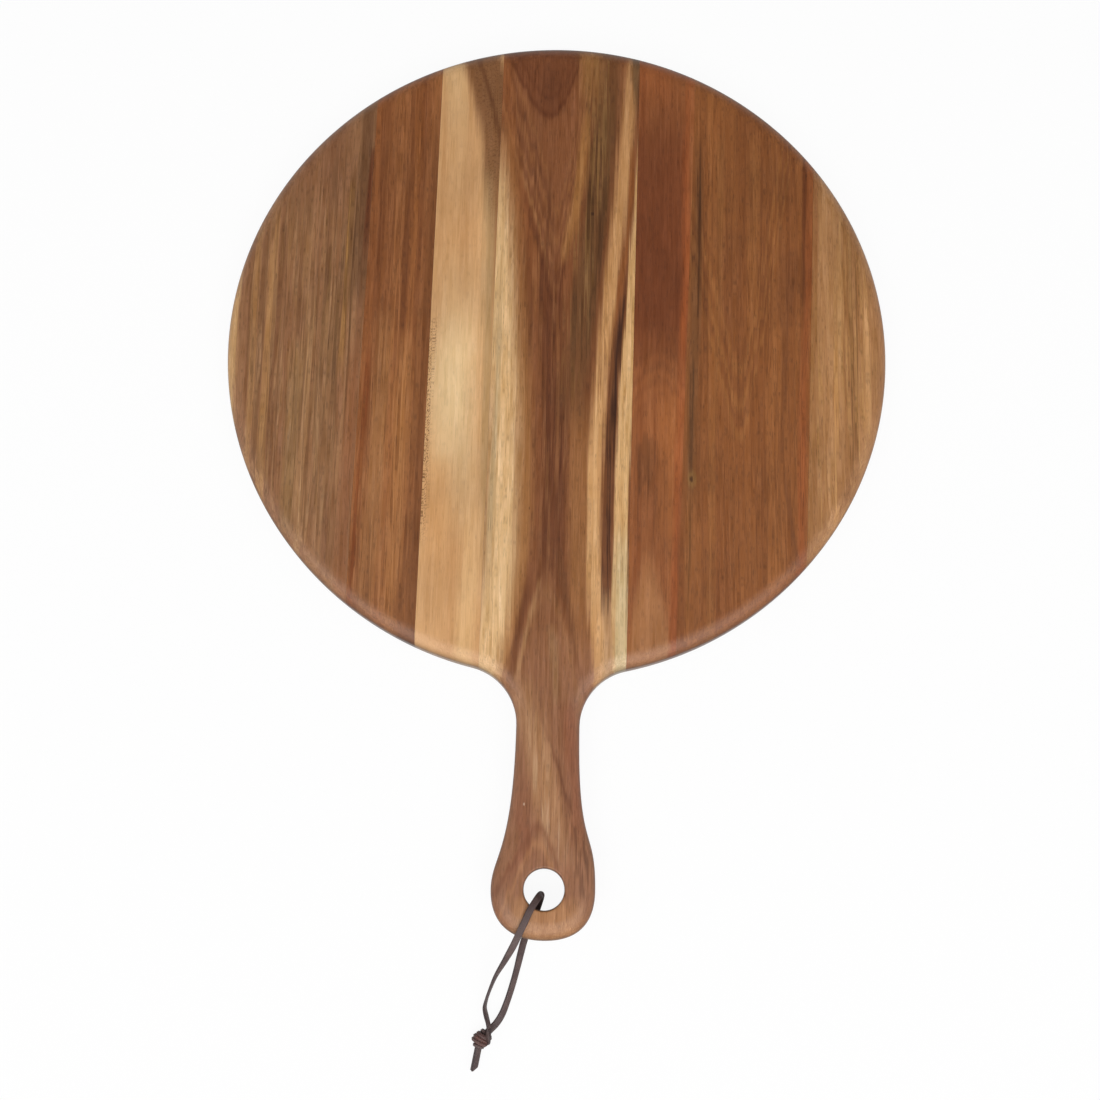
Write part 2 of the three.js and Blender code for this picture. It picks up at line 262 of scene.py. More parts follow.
# Patterns of the grain
WANDER = Pattern(65, 130, 1, 0.3, 0.7, 0)
FRAY = Pattern(1.5, 70, 3, 0.3, 0.7, 1)
BANDS = Pattern(8, 600, 4, 0.38, 0.62, 2)
RIPPLES = Pattern(24, 30, 2, 0.36, 0.64, 3)
STREAKS = Pattern(1.5, 70, 4, 0.36, 0.64, 4)
FIBRES = Pattern(0.45, 14, 2, 0.34, 0.66, 5)  # coarser than real fibres, or they would not show
PATCHES = Pattern(14, 60, 2, 0.35, 0.65, 6)  # where the fibres show more and less
PORES = Pattern(0.24, 3.4, 1, 0.52, 0.7, 7)  # about twice as wide as real ones, or they would not show
BROKEN_LINES = Pattern(0.9, 45, 2, 0.5, 0.6, 0)
TORN_FLECKS = Pattern(0.5, 1.3, 1, 0.5, 0.6, 0)
FLECK_SEED = 0
FLECK_SLANT = 0.5  # radians
STRAY = 1.4  # how far the grain strays sideways, in millimetres
TEAR = 2.2  # how far a streak's edge is torn, in millimetres

# How the dense, darker wood of a summer and the open wood of a spring change a plank's colour
SUMMER = (0.87, 0.81, 0.72)
SPRING = (1.12, 1.17, 1.26)
# How a dark fibre and a light one change it: real fibres, with a spread widest in blue that is partly a
# painted glint of their gloss
DARK_FIBRE = (0.80, 0.74, 0.61)
LIGHT_FIBRE_AND_GLINT = (1.18, 1.23, 1.39)
FIBRE_STRENGTH = 0.3  # beyond the strength of the plank's streaks
FIBRE_FADE = 0.5  # the share of it that is left where the fibres show least

# How the wood changes with the way that it faces: end grain is darker, and painted shade deepens it along
# the outer edge;
# the upright wall is darkened with painted shade, for the light from above that misses it; and the edge,
# sanded by hand, is duller than the planed faces.
# end grain is darker, and the darkening is made stronger than that as painted shade along the rim's outer
# edge
END_GRAIN_AND_PAINTED_SHADE = span(0.35, 0.9, 1.0, 0.55)
# painted shade: the upright wall is made darker, as if less light reached it from above
WALL_PAINTED_SHADE = span(0.25, 0.85, 0.62, 1.0)
EDGE_DULLNESS = span(0.85, 0.99, 0.05, 0.0)
SHEEN = span(0.0, 1.0, 0.31, 0.39)  # roughness, from the dark fibres to the light ones
WOOD_IOR = 1.47
PORE_DEPTH = 0.05
PORE_BUMP = 0.4


def draw_curve(curve, points):
    """Puts given points on a float curve, both ways from 0 to 1."""
    line = curve.mapping.curves[0]
    while len(line.points) > 2:
        line.points.remove(line.points[1])
    for i, (place, value) in enumerate(sorted(points)):
        point = line.points[i] if i < 2 else line.points.new(place, value)
        point.location = (place, value)
        point.handle_type = "AUTO_CLAMPED"
    curve.mapping.update()


def share_along(y):
    """A place along the grain, from 0 to 1 over the part where it is drawn."""
    return (y - GRAIN_LOW.y) / GRAIN_SIZE.y


def share_across(x):
    """A place across the grain, from 0 to 1 over the part where it is drawn."""
    return (x - GRAIN_LOW.x) / GRAIN_SIZE.x


def streak_mask(tree, grain, streak):
    """Where a streak lies, from 0 to its strength."""
    centre = node(tree, "FloatCurve", {"Value": grain["along"]})
    draw_curve(centre, [(share_along(y), share_across(x)) for y, x, _ in streak.route])
    strength = node(tree, "FloatCurve", {"Value": grain["along"]})
    draw_curve(strength, [(share_along(y), s) for y, _, s in streak.route])
    aside = node(tree, "Math", {0: grain["across"], 1: centre.outputs[0]}, operation="SUBTRACT")
    distance = node(tree, "Math", {0: aside.outputs[0]}, operation="ABSOLUTE")
    inner = max(streak.half_width - streak.softness / 2, 0) / GRAIN_SIZE.x
    outer = (streak.half_width + streak.softness / 2) / GRAIN_SIZE.x
    links = {"Value": distance.outputs[0], **span(inner, outer, 1.0, 0.0)}
    band = node(tree, "MapRange", links, interpolation_type="SMOOTHSTEP")
    links = {0: band.outputs[0], 1: strength.outputs[0]}
    return node(tree, "Math", links, operation="MULTIPLY").outputs[0]


def patterned_mask(tree, grain, streak, pattern):
    """Where a pattern shows inside a streak, from 0 to the streak's strength."""
    links = {0: pattern, 1: streak_mask(tree, grain, streak)}
    return node(tree, "Math", links, operation="MULTIPLY").outputs[0]


def lines_mask(tree, grain, lines):
    """Where a streak's broken lines lie. Their seed is the place where they start."""
    seed = lines.route[0][1]
    return patterned_mask(tree, grain, lines, real_pattern(tree, grain["point"], BROKEN_LINES, seed))


def flecks_mask(tree, grain, flecks):
    """Where a streak's slanted flecks lie."""
    slanted = node(tree, "Mapping", {"Vector": grain["point"], "Rotation": (0, 0, FLECK_SLANT)})
    torn = real_pattern(tree, slanted.outputs[0], TORN_FLECKS, FLECK_SEED)
    return patterned_mask(tree, grain, flecks, torn)


def arch_mask(tree, grain, arch):
    """Where an arch's fill or its line lies, from 0 to its strength."""
    outline = node(tree, "FloatCurve", {"Value": grain["across"]})
    draw_curve(outline, [(share_across(x), share_along(y)) for x, y in arch.outline])
    links = {0: grain["along"], 1: outline.outputs[0]}
    beyond = node(tree, "Math", links, operation="SUBTRACT")
    soft = arch.softness / GRAIN_SIZE.y
    ends = span(-soft * arch.fills, soft * arch.fills, 0.0, arch.strength)
    if arch.fills == ALONG:
        beyond = node(tree, "Math", {0: beyond.outputs[0]}, operation="ABSOLUTE")
        ends = span(0.0, soft, arch.strength, 0.0)
    links = {"Value": beyond.outputs[0], **ends}
    return node(tree, "MapRange", links, interpolation_type="SMOOTHSTEP").outputs[0]


def knot_mask(tree, grain, knot):
    """Where a knot's eye lies, from 0 to its strength."""
    wide = 1 / knot.radius
    long = wide / EYE_LENGTH
    from_knot = node(tree, "Mapping", {
        "Vector": grain["point"],
        "Location": (-knot.x * wide, -knot.y * long, 0),
        "Scale": (wide, long, 0),
    })
    distance = node(tree, "VectorMath", {0: from_knot.outputs[0]}, operation="LENGTH")
    links = {"Value": distance.outputs["Value"], **span(*EYE_EDGE, knot.strength, 0.0)}
    return node(tree, "MapRange", links, interpolation_type="SMOOTHSTEP").outputs[0]


MASKS = {Streak: streak_mask, Lines: lines_mask, Flecks: flecks_mask, Arch: arch_mask, Knot: knot_mask}


def grain_space(tree, seed):
    """The point in millimetres, and its shares across and along a grain that wanders."""
    point = point_in_millimetres(tree)
    strayed = real_pattern(tree, point, WANDER, seed, -STRAY / 2, STRAY / 2)
    frayed = real_pattern(tree, point, FRAY, seed, -TEAR / 2, TEAR / 2)
    sideways = node(tree, "Math", {0: strayed, 1: frayed}, operation="ADD")
    shift = node(tree, "CombineXYZ", {"X": sideways.outputs[0]})
    moved = node(tree, "VectorMath", {0: point, 1: shift.outputs[0]}, operation="ADD").outputs[0]
    parts = node(tree, "SeparateXYZ", {0: moved})
    across, along = (
        node(tree, "MapRange", {"Value": parts.outputs[axis], **span(low, high)}).outputs[0]
        for axis, low, high in zip("XY", GRAIN_LOW, GRAIN_HIGH)
    )
    return {"point": moved, "across": across, "along": along}


def plank_figure(tree, grain, plank, wood):
    """A plank's bands of darker and lighter wood, with its own features over them."""
    dark = getattr(wood, plank.name + "_dark")
    light = getattr(wood, plank.name + "_light")
    layers = [(real_pattern(tree, grain["point"], BANDS, plank.seed), light)]
    for feature in plank.features:
        layers.append((MASKS[type(feature)](tree, grain, feature), linear(feature.tone)))
    return laid_over(tree, opaque(dark), layers)


def grain_shades(tree, grain, plank, fibres):
    """What makes a plank darker and lighter: its brightness along the board, its ripples, its seasons
    and its fibres, the light ones partly with a painted glint."""
    curve = node(tree, "FloatCurve", {"Value": grain["along"]})
    draw_curve(curve, [(share_along(y), value / BRIGHTEST) for y, value in plank.brightness])
    brightness = node(tree, "Math", {0: curve.outputs[0], 1: BRIGHTEST}, operation="MULTIPLY")
    ripples = real_pattern(
        tree, grain["point"], RIPPLES, plank.seed, 1 - plank.ripples, 1 + plank.ripples
    )
    streaks = real_pattern(tree, grain["point"], STREAKS, plank.seed)
    clear = FIBRE_STRENGTH + plank.streaks
    patches = real_pattern(tree, grain["point"], PATCHES, plank.seed, FIBRE_FADE * clear, clear)
    return [
        (brightness.outputs[0], 1.0),
        (ripples, 1.0),
        (laid_over(tree, opaque(SUMMER), [(streaks, SPRING)]), plank.streaks),
        # the light fibres carry a painted glint as well as their own lighter tone
        (laid_over(tree, opaque(DARK_FIBRE), [(fibres, LIGHT_FIBRE_AND_GLINT)]), patches),
    ]


def acacia(plank, wood):
    """Oiled acacia, planed and sanded: brown heartwood in bands along the grain, with short dark
    pores, a satin sheen, painted shade on the upright wall, and darker end grain, deepened by painted
    shade, where the edge cuts across the fibres."""
    material = new_material("acacia_plank_" + plank.name)
    tree = material.node_tree
    grain = grain_space(tree, plank.seed)
    fibres = real_pattern(tree, grain["point"], FIBRES, plank.seed)
    pores = real_pattern(tree, grain["point"], PORES, plank.seed)
    coordinates = node(tree, "TexCoord")
    facing = node(tree, "SeparateXYZ", {0: coordinates.outputs["Normal"]})
    endways, level = (
        node(tree, "Math", {0: facing.outputs[axis]}, operation="ABSOLUTE").outputs[0] for axis in "YZ"
    )
    shades = grain_shades(tree, grain, plank, fibres)
    pored = span(0.0, 1.0, 1.0, 1 - plank.pores)
    # the last two shades are the painted shade on the wall and the end grain's darkening, deepened by
    # painted shade
    for value, ends in ((pores, pored), (endways, END_GRAIN_AND_PAINTED_SHADE), (level, WALL_PAINTED_SHADE)):
        shades.append((node(tree, "MapRange", {"Value": value, **ends}).outputs[0], 1.0))
    sheen = node(tree, "MapRange", {"Value": fibres, **SHEEN})
    dullness = node(tree, "MapRange", {"Value": level, **EDGE_DULLNESS})
    roughness = node(tree, "Math", {0: sheen.outputs[0], 1: dullness.outputs[0]}, operation="ADD")
    bump = node(tree, "Bump", {
        "Height": pores,
        "Distance": -PORE_DEPTH * MM,
        "Strength": PORE_BUMP,
    })
    shader = node(tree, "BsdfPrincipled", {
        "Base Color": shaded(tree, plank_figure(tree, grain, plank, wood), shades),
        "Roughness": roughness.outputs[0],
        "IOR": WOOD_IOR,
        "Normal": bump.outputs[0],
    })
    node(tree, "OutputMaterial", {"Surface": shader.outputs[0]})
    return material


def raised(outline, rise):
    """The same outline further up the board."""
    return tuple((x, y + rise) for x, y in outline)


LEFT_OUTER = Plank(
    name="left_outer", seed=1, ripples=0.05, streaks=0.6, pores=0.3,
    brightness=((-130, 1.0), (-50, 1.05), (-10, 1.04), (30, 1.03), (70, 1.0), (130, 0.99)),
    features=(
        Streak("#835437", 12, 14, ((140, -112, 0.6), (90, -112, 0.4), (60, -112, 0))),
        Streak("#c49965", 2.4, 2, ((48, -147.5, 0), (20, -147.5, 0.8), (-30, -147, 0.9), (-75, -143, 0))),
        Streak("#a87c4d", 1.3, 1.6, ((60, -138, 0), (35, -138, 0.6), (-50, -138, 0.6), (-70, -137, 0))),
        Streak("#6f482b", 1.1, 1.4, ((60, -134, 0), (35, -134, 0.6), (-60, -134, 0.5), (-80, -133, 0))),
        Streak("#a87a48", 1.4, 1.6, ((65, -130, 0), (40, -130.5, 0.6), (-70, -131, 0.7), (-90, -131, 0))),
        Streak("#6f482b", 0.8, 1.2, ((60, -127, 0), (35, -127.5, 0.5), (-70, -128, 0.5), (-90, -128, 0))),
        Streak("#927046", 3, 4, ((5, -117, 0), (-30, -117.5, 0.6), (-70, -118, 0.6), (-95, -118, 0))),
        Streak("#a57c52", 1.6, 2.4, (
            (30, -112, 0), (-5, -112, 0.5), (-80, -112.5, 0.6), (-110, -113, 0.2),
        )),
        Streak("#855f3c", 4.5, 4, ((20, -103, 0), (-10, -103.5, 0.5), (-60, -104, 0.5), (-90, -105, 0))),
        Streak("#a5773c", 1.1, 1.6, ((80, -97, 0), (62, -97.2, 0.6), (30, -97.5, 0.6), (-20, -98, 0))),
        Streak("#614025", 3.6, 4.5, ((125, -90.5, 0), (100, -90.5, 0.6), (60, -91.5, 0.65), (13, -93, 0))),
        Lines("#59391e", 9, 8, (
            (100, -98, 0), (70, -99, 0.5), (0, -101, 0.5), (-60, -102, 0.4), (-100, -102, 0),
        )),
        Lines("#ab8257", 22, 14, ((80, -118, 0), (40, -118, 0.35), (-60, -118, 0.4), (-100, -116, 0.2))),
        Lines("#664327", 22, 14, ((90, -120, 0.2), (40, -122, 0.4), (-60, -122, 0.45), (-100, -118, 0.2))),
        Streak("#54361c", 0.5, 0.8, ((75, -94, 0), (50, -94.4, 0.7), (-20, -95, 0.6), (-50, -95.5, 0))),
        Streak("#54361c", 0.4, 0.8, ((60, -99.6, 0), (40, -100, 0.6), (0, -100.4, 0.5), (-20, -101, 0))),
        Streak("#5e2b0f", 1.5, 1.8, ((97, -87.6, 0), (82, -88, 0.85), (60, -88.6, 0.7), (35, -89, 0))),
        Streak("#8b5633", 2.6, 2.4, ((5, -92, 0), (-30, -92.5, 0.5), (-90, -93, 0.5), (-130, -93, 0.3))),
    ),
)

LEFT_MIDDLE = Plank(
    name="left_middle", seed=11, ripples=0.05, streaks=0.6, pores=0.3,
    brightness=((-140, 1.0), (-90, 1.04), (-50, 1.12), (-10, 1.13), (30, 1.04), (70, 1.01), (140, 1.1)),
    features=(
        Streak("#955a2f", 1.2, 2.4, (
            (130, -84.5, 0.3), (90, -85, 0.6), (20, -86.4, 0.4), (-120, -88, 0.4),
        )),
        Streak("#743812", 0.8, 1, ((0, -85.4, 0), (-35, -86.2, 0.8), (-100, -87.6, 0.8), (-128, -88.4, 0))),
        Streak("#a07044", 3.4, 4, ((20, -78.5, 0), (-20, -79, 0.6), (-80, -80, 0.6), (-130, -81, 0.2))),
        Streak("#65381a", 0.9, 1.1, ((85, -70, 0), (55, -70.5, 0.7), (10, -71, 0.6), (-25, -71.6, 0))),
        Streak("#a0622e", 1.6, 2.4, ((125, -66.5, 0.2), (90, -67, 0.35), (30, -67.5, 0.35), (0, -68, 0))),
        Streak("#ab7340", 3, 4, ((10, -68, 0), (-35, -68.8, 0.65), (-90, -69.6, 0.55), (-140, -70, 0.3))),
        Streak("#6f4220", 0.8, 1.2, ((25, -63, 0), (0, -63.4, 0.6), (-60, -64, 0.6), (-130, -65, 0.6))),
        Streak("#6d4020", 2.4, 2.8, ((120, -57, 0.1), (70, -58.4, 0.7), (0, -59.6, 0.8), (-140, -61, 0.7))),
        Lines("#643515", 13, 6, ((130, -72, 0.4), (60, -73, 0.5), (-60, -74, 0.4), (-130, -76, 0.4))),
        Lines("#ab7546", 11, 6, ((20, -74, 0), (-20, -75, 0.4), (-80, -76, 0.4), (-120, -77, 0.2))),
    ),
)

LEFT_INNER = Plank(
    name="left_inner", seed=21, ripples=0.07, streaks=0.2, pores=0.12,
    brightness=((-145, 1.0), (-90, 0.98), (-50, 1.0), (-10, 1.04), (30, 0.98), (70, 0.97), (140, 1.0)),
    features=(
        Streak("#e3c190", 9, 13, (
            (50, -45, 0), (22, -45, 0.3), (2, -46, 0.75), (-18, -47, 0.95), (-40, -46, 0.75),
            (-65, -44, 0.4), (-95, -43, 0),
        )),
        Streak("#d5af7e", 5, 5, ((155, -53, 0.8), (125, -50, 0.5), (95, -48, 0.2), (60, -47, 0))),
        Streak("#c28c55", 5, 10, ((-50, -50, 0), (-78, -51, 0.65), (-95, -50, 0.3), (-125, -52, 0))),
        Streak("#dbb27d", 4, 6, ((-70, -36, 0), (-100, -36, 0.4), (-125, -37, 0.5), (-150, -38, 0.4))),
        Streak("#7d512f", 9, 5.5, (
            (152, -40, 0.95), (138, -37.4, 0.95), (124, -33.4, 0.95), (103, -29.2, 0.9), (82, -26.8, 0.8),
            (61, -24.4, 0.6), (40, -22.4, 0.4), (15, -20, 0),
        )),
        Streak("#5e3419", 0.9, 1.8, ((146, -41, 0.4), (118, -33, 0.7), (103, -29.6, 0.6), (90, -28, 0))),
        Streak("#a7895d", 2.2, 3.6, (
            (90, -34, 0), (60, -33, 0.5), (10, -31.6, 0.6), (-30, -30.8, 0.6), (-95, -30.4, 0.2),
        )),
        Flecks("#6d4725", 1.9, 2.6, ((14, -57, 0), (0, -57.2, 0.9), (-60, -57.6, 0.9), (-95, -58, 0))),
        Flecks("#5e3a1e", 7, 5, (
            (152, -40, 0.5), (124, -33.4, 0.5), (103, -29.2, 0.5), (75, -27, 0.3), (50, -24, 0),
        )),
    ),
)

# The cathedral figure of the handle's plank: a small arch at the top and a long one below it
SMALL_ARCH = ((-24, 139), (-19, 129), (-12.5, 117.5), (-6, 112.5), (0, 119), (4, 127.5), (7, 140))
LONG_ARCH = (
    (-30, 124), (-25.5, 110), (-20.5, 91), (-15.5, 76), (-10.6, 61), (-5.6, 43), (-1.4, 28), (1.4, 40),
    (5, 62), (9, 96),
)
FORK = ((-18, -150), (-13, -134), (-7, -116), (-2, -106), (3, -114), (7, -128), (12, -150))

HANDLE = Plank(
    name="handle", seed=31, ripples=0.05, streaks=0.7, pores=0.25,
    brightness=((-262, 1.0), (-150, 1.0), (0, 1.0), (60, 1.0), (150, 1.0)),
    features=(
        Streak("#976748", 40, 2, ((-128, 0, 0), (-160, 0, 0.85), (-266, 0, 0.85))),
        # The dark heart and its figure
        Arch("#84512f", 0.75, 6, ABOVE, LONG_ARCH),
        Arch("#5b2f17", 0.8, 7, ALONG, raised(LONG_ARCH, -9)),
        Arch("#9f6e42", 0.5, 4.5, ALONG, LONG_ARCH),
        *(Arch("#9a673b", 0.25, 4, ALONG, raised(LONG_ARCH, rise)) for rise in (10, 23, 38)),
        *(Arch("#5e3319", 0.3, 5, ALONG, raised(LONG_ARCH, rise)) for rise in (5, 16, 30)),
        Arch("#6e3d20", 0.8, 6, ABOVE, SMALL_ARCH),
        Arch("#5f3116", 0.7, 3.5, ALONG, raised(SMALL_ARCH, 2)),
        Arch("#5f3116", 0.4, 3.5, ALONG, raised(SMALL_ARCH, 11)),
        Knot("#5a3018", -6, 128, 6, 0.35),
        Streak("#8a5129", 3, 4, (
            (130, -26.5, 0.7), (95, -23.5, 0.7), (65, -17, 0.5), (30, -10, 0.3), (5, -8, 0),
        )),
        Streak("#66381d", 5, 5, (
            (46, -3.5, 0), (28, -3.4, 0.7), (0, -1.6, 0.85), (-40, 0.6, 0.85), (-85, 0, 0.75),
            (-112, -1, 0),
        )),
        Streak("#562b12", 0.6, 1.2, ((20, -4.6, 0), (0, -4.4, 0.7), (-60, -2.4, 0.6), (-100, -4, 0))),
        Streak("#562b12", 0.5, 1, ((-10, 2, 0), (-30, 2.4, 0.7), (-80, 3, 0.6), (-104, 4, 0))),
        Streak("#8e5b33", 0.7, 1.2, ((25, -1, 0), (0, 0.4, 0.5), (-40, 1.2, 0.5), (-70, 1.4, 0))),
        Lines("#95633a", 7, 6, ((60, -8, 0), (30, -6, 0.4), (-20, 0, 0.4), (-95, 1, 0.4), (-112, 1, 0))),
        Lines("#542a11", 9, 6, (
            (120, -14, 0), (80, -12, 0.4), (20, -7, 0.5), (-60, -4, 0.4), (-110, -4, 0),
        )),
        Streak("#a3703f", 3.4, 6, (
            (115, -27.5, 0), (92, -24.4, 0.35), (60, -21.4, 0.45), (20, -17.6, 0.5), (-20, -15, 0.65),
            (-60, -13, 0.75), (-95, -13.6, 0.8), (-125, -17.8, 0.8), (-146, -20.4, 0.75),
            (-160, -21.4, 0.2),
        )),
        Streak("#966337", 4.4, 5, (
            (-20, 11, 0), (-45, 11.5, 0.7), (-90, 12, 0.85), (-125, 12.5, 0.6), (-150, 11, 0),
        )),
        # Dark olive streaks on the right, with golden ones between them
        Streak("#664324", 5.6, 5.5, (
            (152, 21, 0.4), (120, 20.5, 0.7), (90, 19, 0.8), (60, 16.5, 0.8), (30, 13.5, 0.8),
            (0, 10.5, 0.65), (-45, 7, 0),
        )),
        Lines("#432a0f", 5.5, 5, (
            (120, 20, 0), (96, 18.6, 0.6), (60, 15.6, 0.6), (25, 12, 0.5), (-15, 9, 0.3), (-40, 8, 0),
        )),
        Lines("#8f683a", 6, 5, (
            (150, 17, 0.5), (105, 16, 0.5), (50, 12, 0.5), (0, 8, 0.4), (-30, 7, 0),
        )),
        Lines("#39210d", 2.2, 2.4, (
            (115, 24, 0), (95, 23, 0.6), (60, 20, 0.6), (30, 17.5, 0.5), (5, 15, 0),
        )),
        Streak("#a8743e", 1.8, 3.6, (
            (118, 11.5, 0), (103, 10.6, 0.6), (80, 8.8, 0.7), (58, 5.8, 0.6), (38, 2, 0),
        )),
        Streak("#946637", 5, 5, ((152, 12, 0.7), (135, 13, 0.6), (120, 13, 0.2), (110, 12, 0))),
        # Sapwood along both edges
        Streak("#d9b07c", 6.6, 8.5, (
            (112, -36, 0), (92, -33.4, 0.45), (70, -31, 0.85), (30, -27.8, 1), (-10, -25.2, 1),
            (-50, -23.8, 1), (-90, -23.4, 1), (-118, -25, 1), (-134, -27.4, 0.95), (-152, -30, 0.85),
        )),
        Streak("#ad9269", 1.6, 2.6, (
            (60, -26.8, 0), (10, -27.2, 0.5), (-20, -27.3, 0.7), (-60, -27.7, 0.7), (-95, -28, 0.3),
            (-125, -28, 0),
        )),
        Streak("#dfb784", 2.4, 3.6, ((-40, -22, 0), (-70, -22, 0.6), (-110, -22.6, 0.7), (-135, -25, 0))),
        Streak("#c2905c", 3, 3.4, (
            (150, 33, 0.4), (124, 31.4, 0.7), (95, 29.6, 0.85), (70, 28, 0.9), (30, 24.8, 0.95),
            (-10, 21, 1), (-50, 18.9, 1), (-90, 18.3, 1), (-118, 19.4, 0.85), (-134, 20.8, 0.85),
            (-152, 22, 0.7),
        )),
        Streak("#d2a26d", 1.8, 2.8, (
            (10, 22.6, 0), (-20, 20.2, 0.6), (-50, 18.8, 0.8), (-95, 18.6, 0.8), (-120, 20, 0.6),
            (-140, 21.8, 0.5), (-154, 22.6, 0.3),
        )),
        Streak("#8b5124", 1, 1.8, (
            (100, 33, 0), (80, 33, 0.7), (50, 31.4, 0.7), (20, 27.6, 0.6), (0, 25, 0),
        )),
        Streak("#cea26c", 3.2, 1.6, (
            (110, 39, 0), (85, 38, 0.7), (62, 37.4, 0.9), (30, 36, 0.95), (-10, 32.8, 1), (-50, 31.2, 1),
            (-90, 30.6, 1), (-118, 30, 0.95), (-148, 30, 0.9),
        )),
        Streak("#c7b085", 3, 3.4, ((-80, 31, 0), (-108, 30.8, 0.7), (-148, 30.8, 0.85))),
        Lines("#8a5a32", 2.4, 2, ((25, 24.4, 0), (5, 22.6, 0.5), (-15, 21.4, 0.5), (-28, 20.6, 0))),
        # The dark stripe in the right-hand sapwood, with a darker core
        Streak("#653a1e", 0.9, 1.8, (
            (48, 32.4, 0), (30, 31, 0.75), (12, 29.6, 0.9), (-2, 28.4, 0.6), (-14, 27.4, 0),
        )),
        Streak("#6d4123", 2, 2.2, (
            (18, 29.4, 0), (2, 28.2, 0.8), (-16, 27, 0.95), (-45, 25.9, 0.95), (-65, 25.2, 0.9),
            (-90, 24.4, 0.8), (-112, 24.2, 0.55), (-128, 24.4, 0),
        )),
        Streak("#bc9366", 2.4, 3, ((-110, 24, 0), (-126, 24.6, 0.6), (-152, 25, 0.75))),
        Streak("#351a0c", 0.75, 1.5, (
            (27, 30.6, 0), (16, 29.8, 0.85), (0, 28.2, 0.9), (-20, 27, 0.9), (-33, 26.4, 0.7),
            (-44, 25.8, 0.2), (-60, 25, 0),
        )),
        Lines("#381b0c", 2, 1.8, (
            (14, 28.6, 0), (-4, 27.6, 0.7), (-40, 25.6, 0.85), (-104, 23.8, 0.75), (-124, 23.6, 0),
        )),
        Streak("#4b341e", 2.2, 3, ((153, 34, 0.85), (138, 33.6, 0.7), (125, 35, 0.5), (112, 36, 0))),
        # Where the heart forks above the handle
        Arch("#865735", 0.6, 8, BELOW, FORK),
        Arch("#a27347", 0.2, 7, ALONG, raised(FORK, -7)),
        Arch("#6a3c1e", 0.4, 6, ALONG, raised(FORK, 7)),
        Streak("#6a3a1a", 1.5, 2.2, (
            (-94, -8, 0), (-110, -10, 0.6), (-127, -13.4, 0.8), (-146, -16.2, 0.7), (-158, -17.2, 0),
        )),
        Streak("#a97e53", 0.8, 1.6, (
            (-106, -5, 0), (-114, -6.6, 0.5), (-128, -9.8, 0.65), (-142, -12.6, 0.65), (-154, -15, 0),
        )),
        Streak("#6b4020", 1.6, 2.4, ((-92, 3.4, 0), (-105, 5, 0.6), (-128, 9, 0.5), (-152, 12, 0))),
        Streak("#9d7f54", 2, 3, ((-126, 0.6, 0), (-138, 1.6, 0.25), (-150, 2.6, 0.25), (-164, 3, 0))),
        # The handle: a light slanting band with a dark line beside it, and an arch over the hole
        Streak("#aa7c52", 5.4, 6, (
            (-148, -12, 0), (-164, -9, 0.55), (-182, -5, 0.68), (-198, -1.5, 0.66), (-214, 2.5, 0.5),
            (-234, 8, 0),
        )),
        Lines("#bd9a76", 4, 6, (
            (-160, -9, 0), (-180, -5, 0.35), (-200, -1, 0.55), (-216, 3, 0.55), (-232, 7, 0),
        )),
        Lines("#6f3f22", 9, 6, ((-140, 0, 0), (-160, 0, 0.5), (-230, 0, 0.45), (-258, 0, 0.2))),
        Lines("#6f3f22", 6, 6, ((-185, 12, 0), (-210, 13, 0.5), (-245, 16, 0.5), (-262, 12, 0))),
        Streak("#6b3d21", 0.6, 1.8, (
            (-160, -6, 0), (-168, -3.6, 0.25), (-180, 0.8, 0.4), (-200, 7.6, 0.85), (-210, 10.8, 0),
        )),
        Streak("#864927", 3, 4, ((-160, 8, 0), (-180, 10, 0.6), (-205, 13.5, 0.5), (-224, 14, 0))),
        Streak("#7e4729", 3, 4, (
            (-190, -12, 0), (-208, -12, 0.5), (-222, -9, 0.6), (-236, -15, 0.3), (-246, -18, 0),
        )),
        Arch("#744224", 0.6, 4, ALONG, ((-15, -232), (-9, -222), (-4, -215), (1, -221), (5, -232))),
        Arch("#a77349", 0.5, 4, ALONG, ((-14, -241), (-9, -229), (-4, -222), (1, -228), (5, -240))),
        *(Streak("#5e361c", 0.5, 0.8, (
            (-214 - drop, 12 + aside, 0), (-220 - drop, 12.6 + aside, 0.8),
            (-230 - drop, 13.4 + aside, 0.7), (-236 - drop, 14 + aside, 0),
        )) for aside, drop in ((0, 0), (2.4, 9), (4.4, 3))),
        Streak("#ae7b4b", 15, 9, ((-243, 0, 0), (-254, 1, 0.6), (-264, 1, 0.65))),
        Knot("#371e0d", 15.2, 65.3, 0.5, 0.9),
        Knot("#371e0d", -10.7, -75.4, 0.45, 0.9),
        Knot("#dcc2a9", -10.2, -205.5, 0.4, 0.8),
    ),
)

# Ripples across the right inner plank, below its dark part
RIPPLE = ((34, -14), (41, -6), (47, -3), (52, -6), (60, -16))

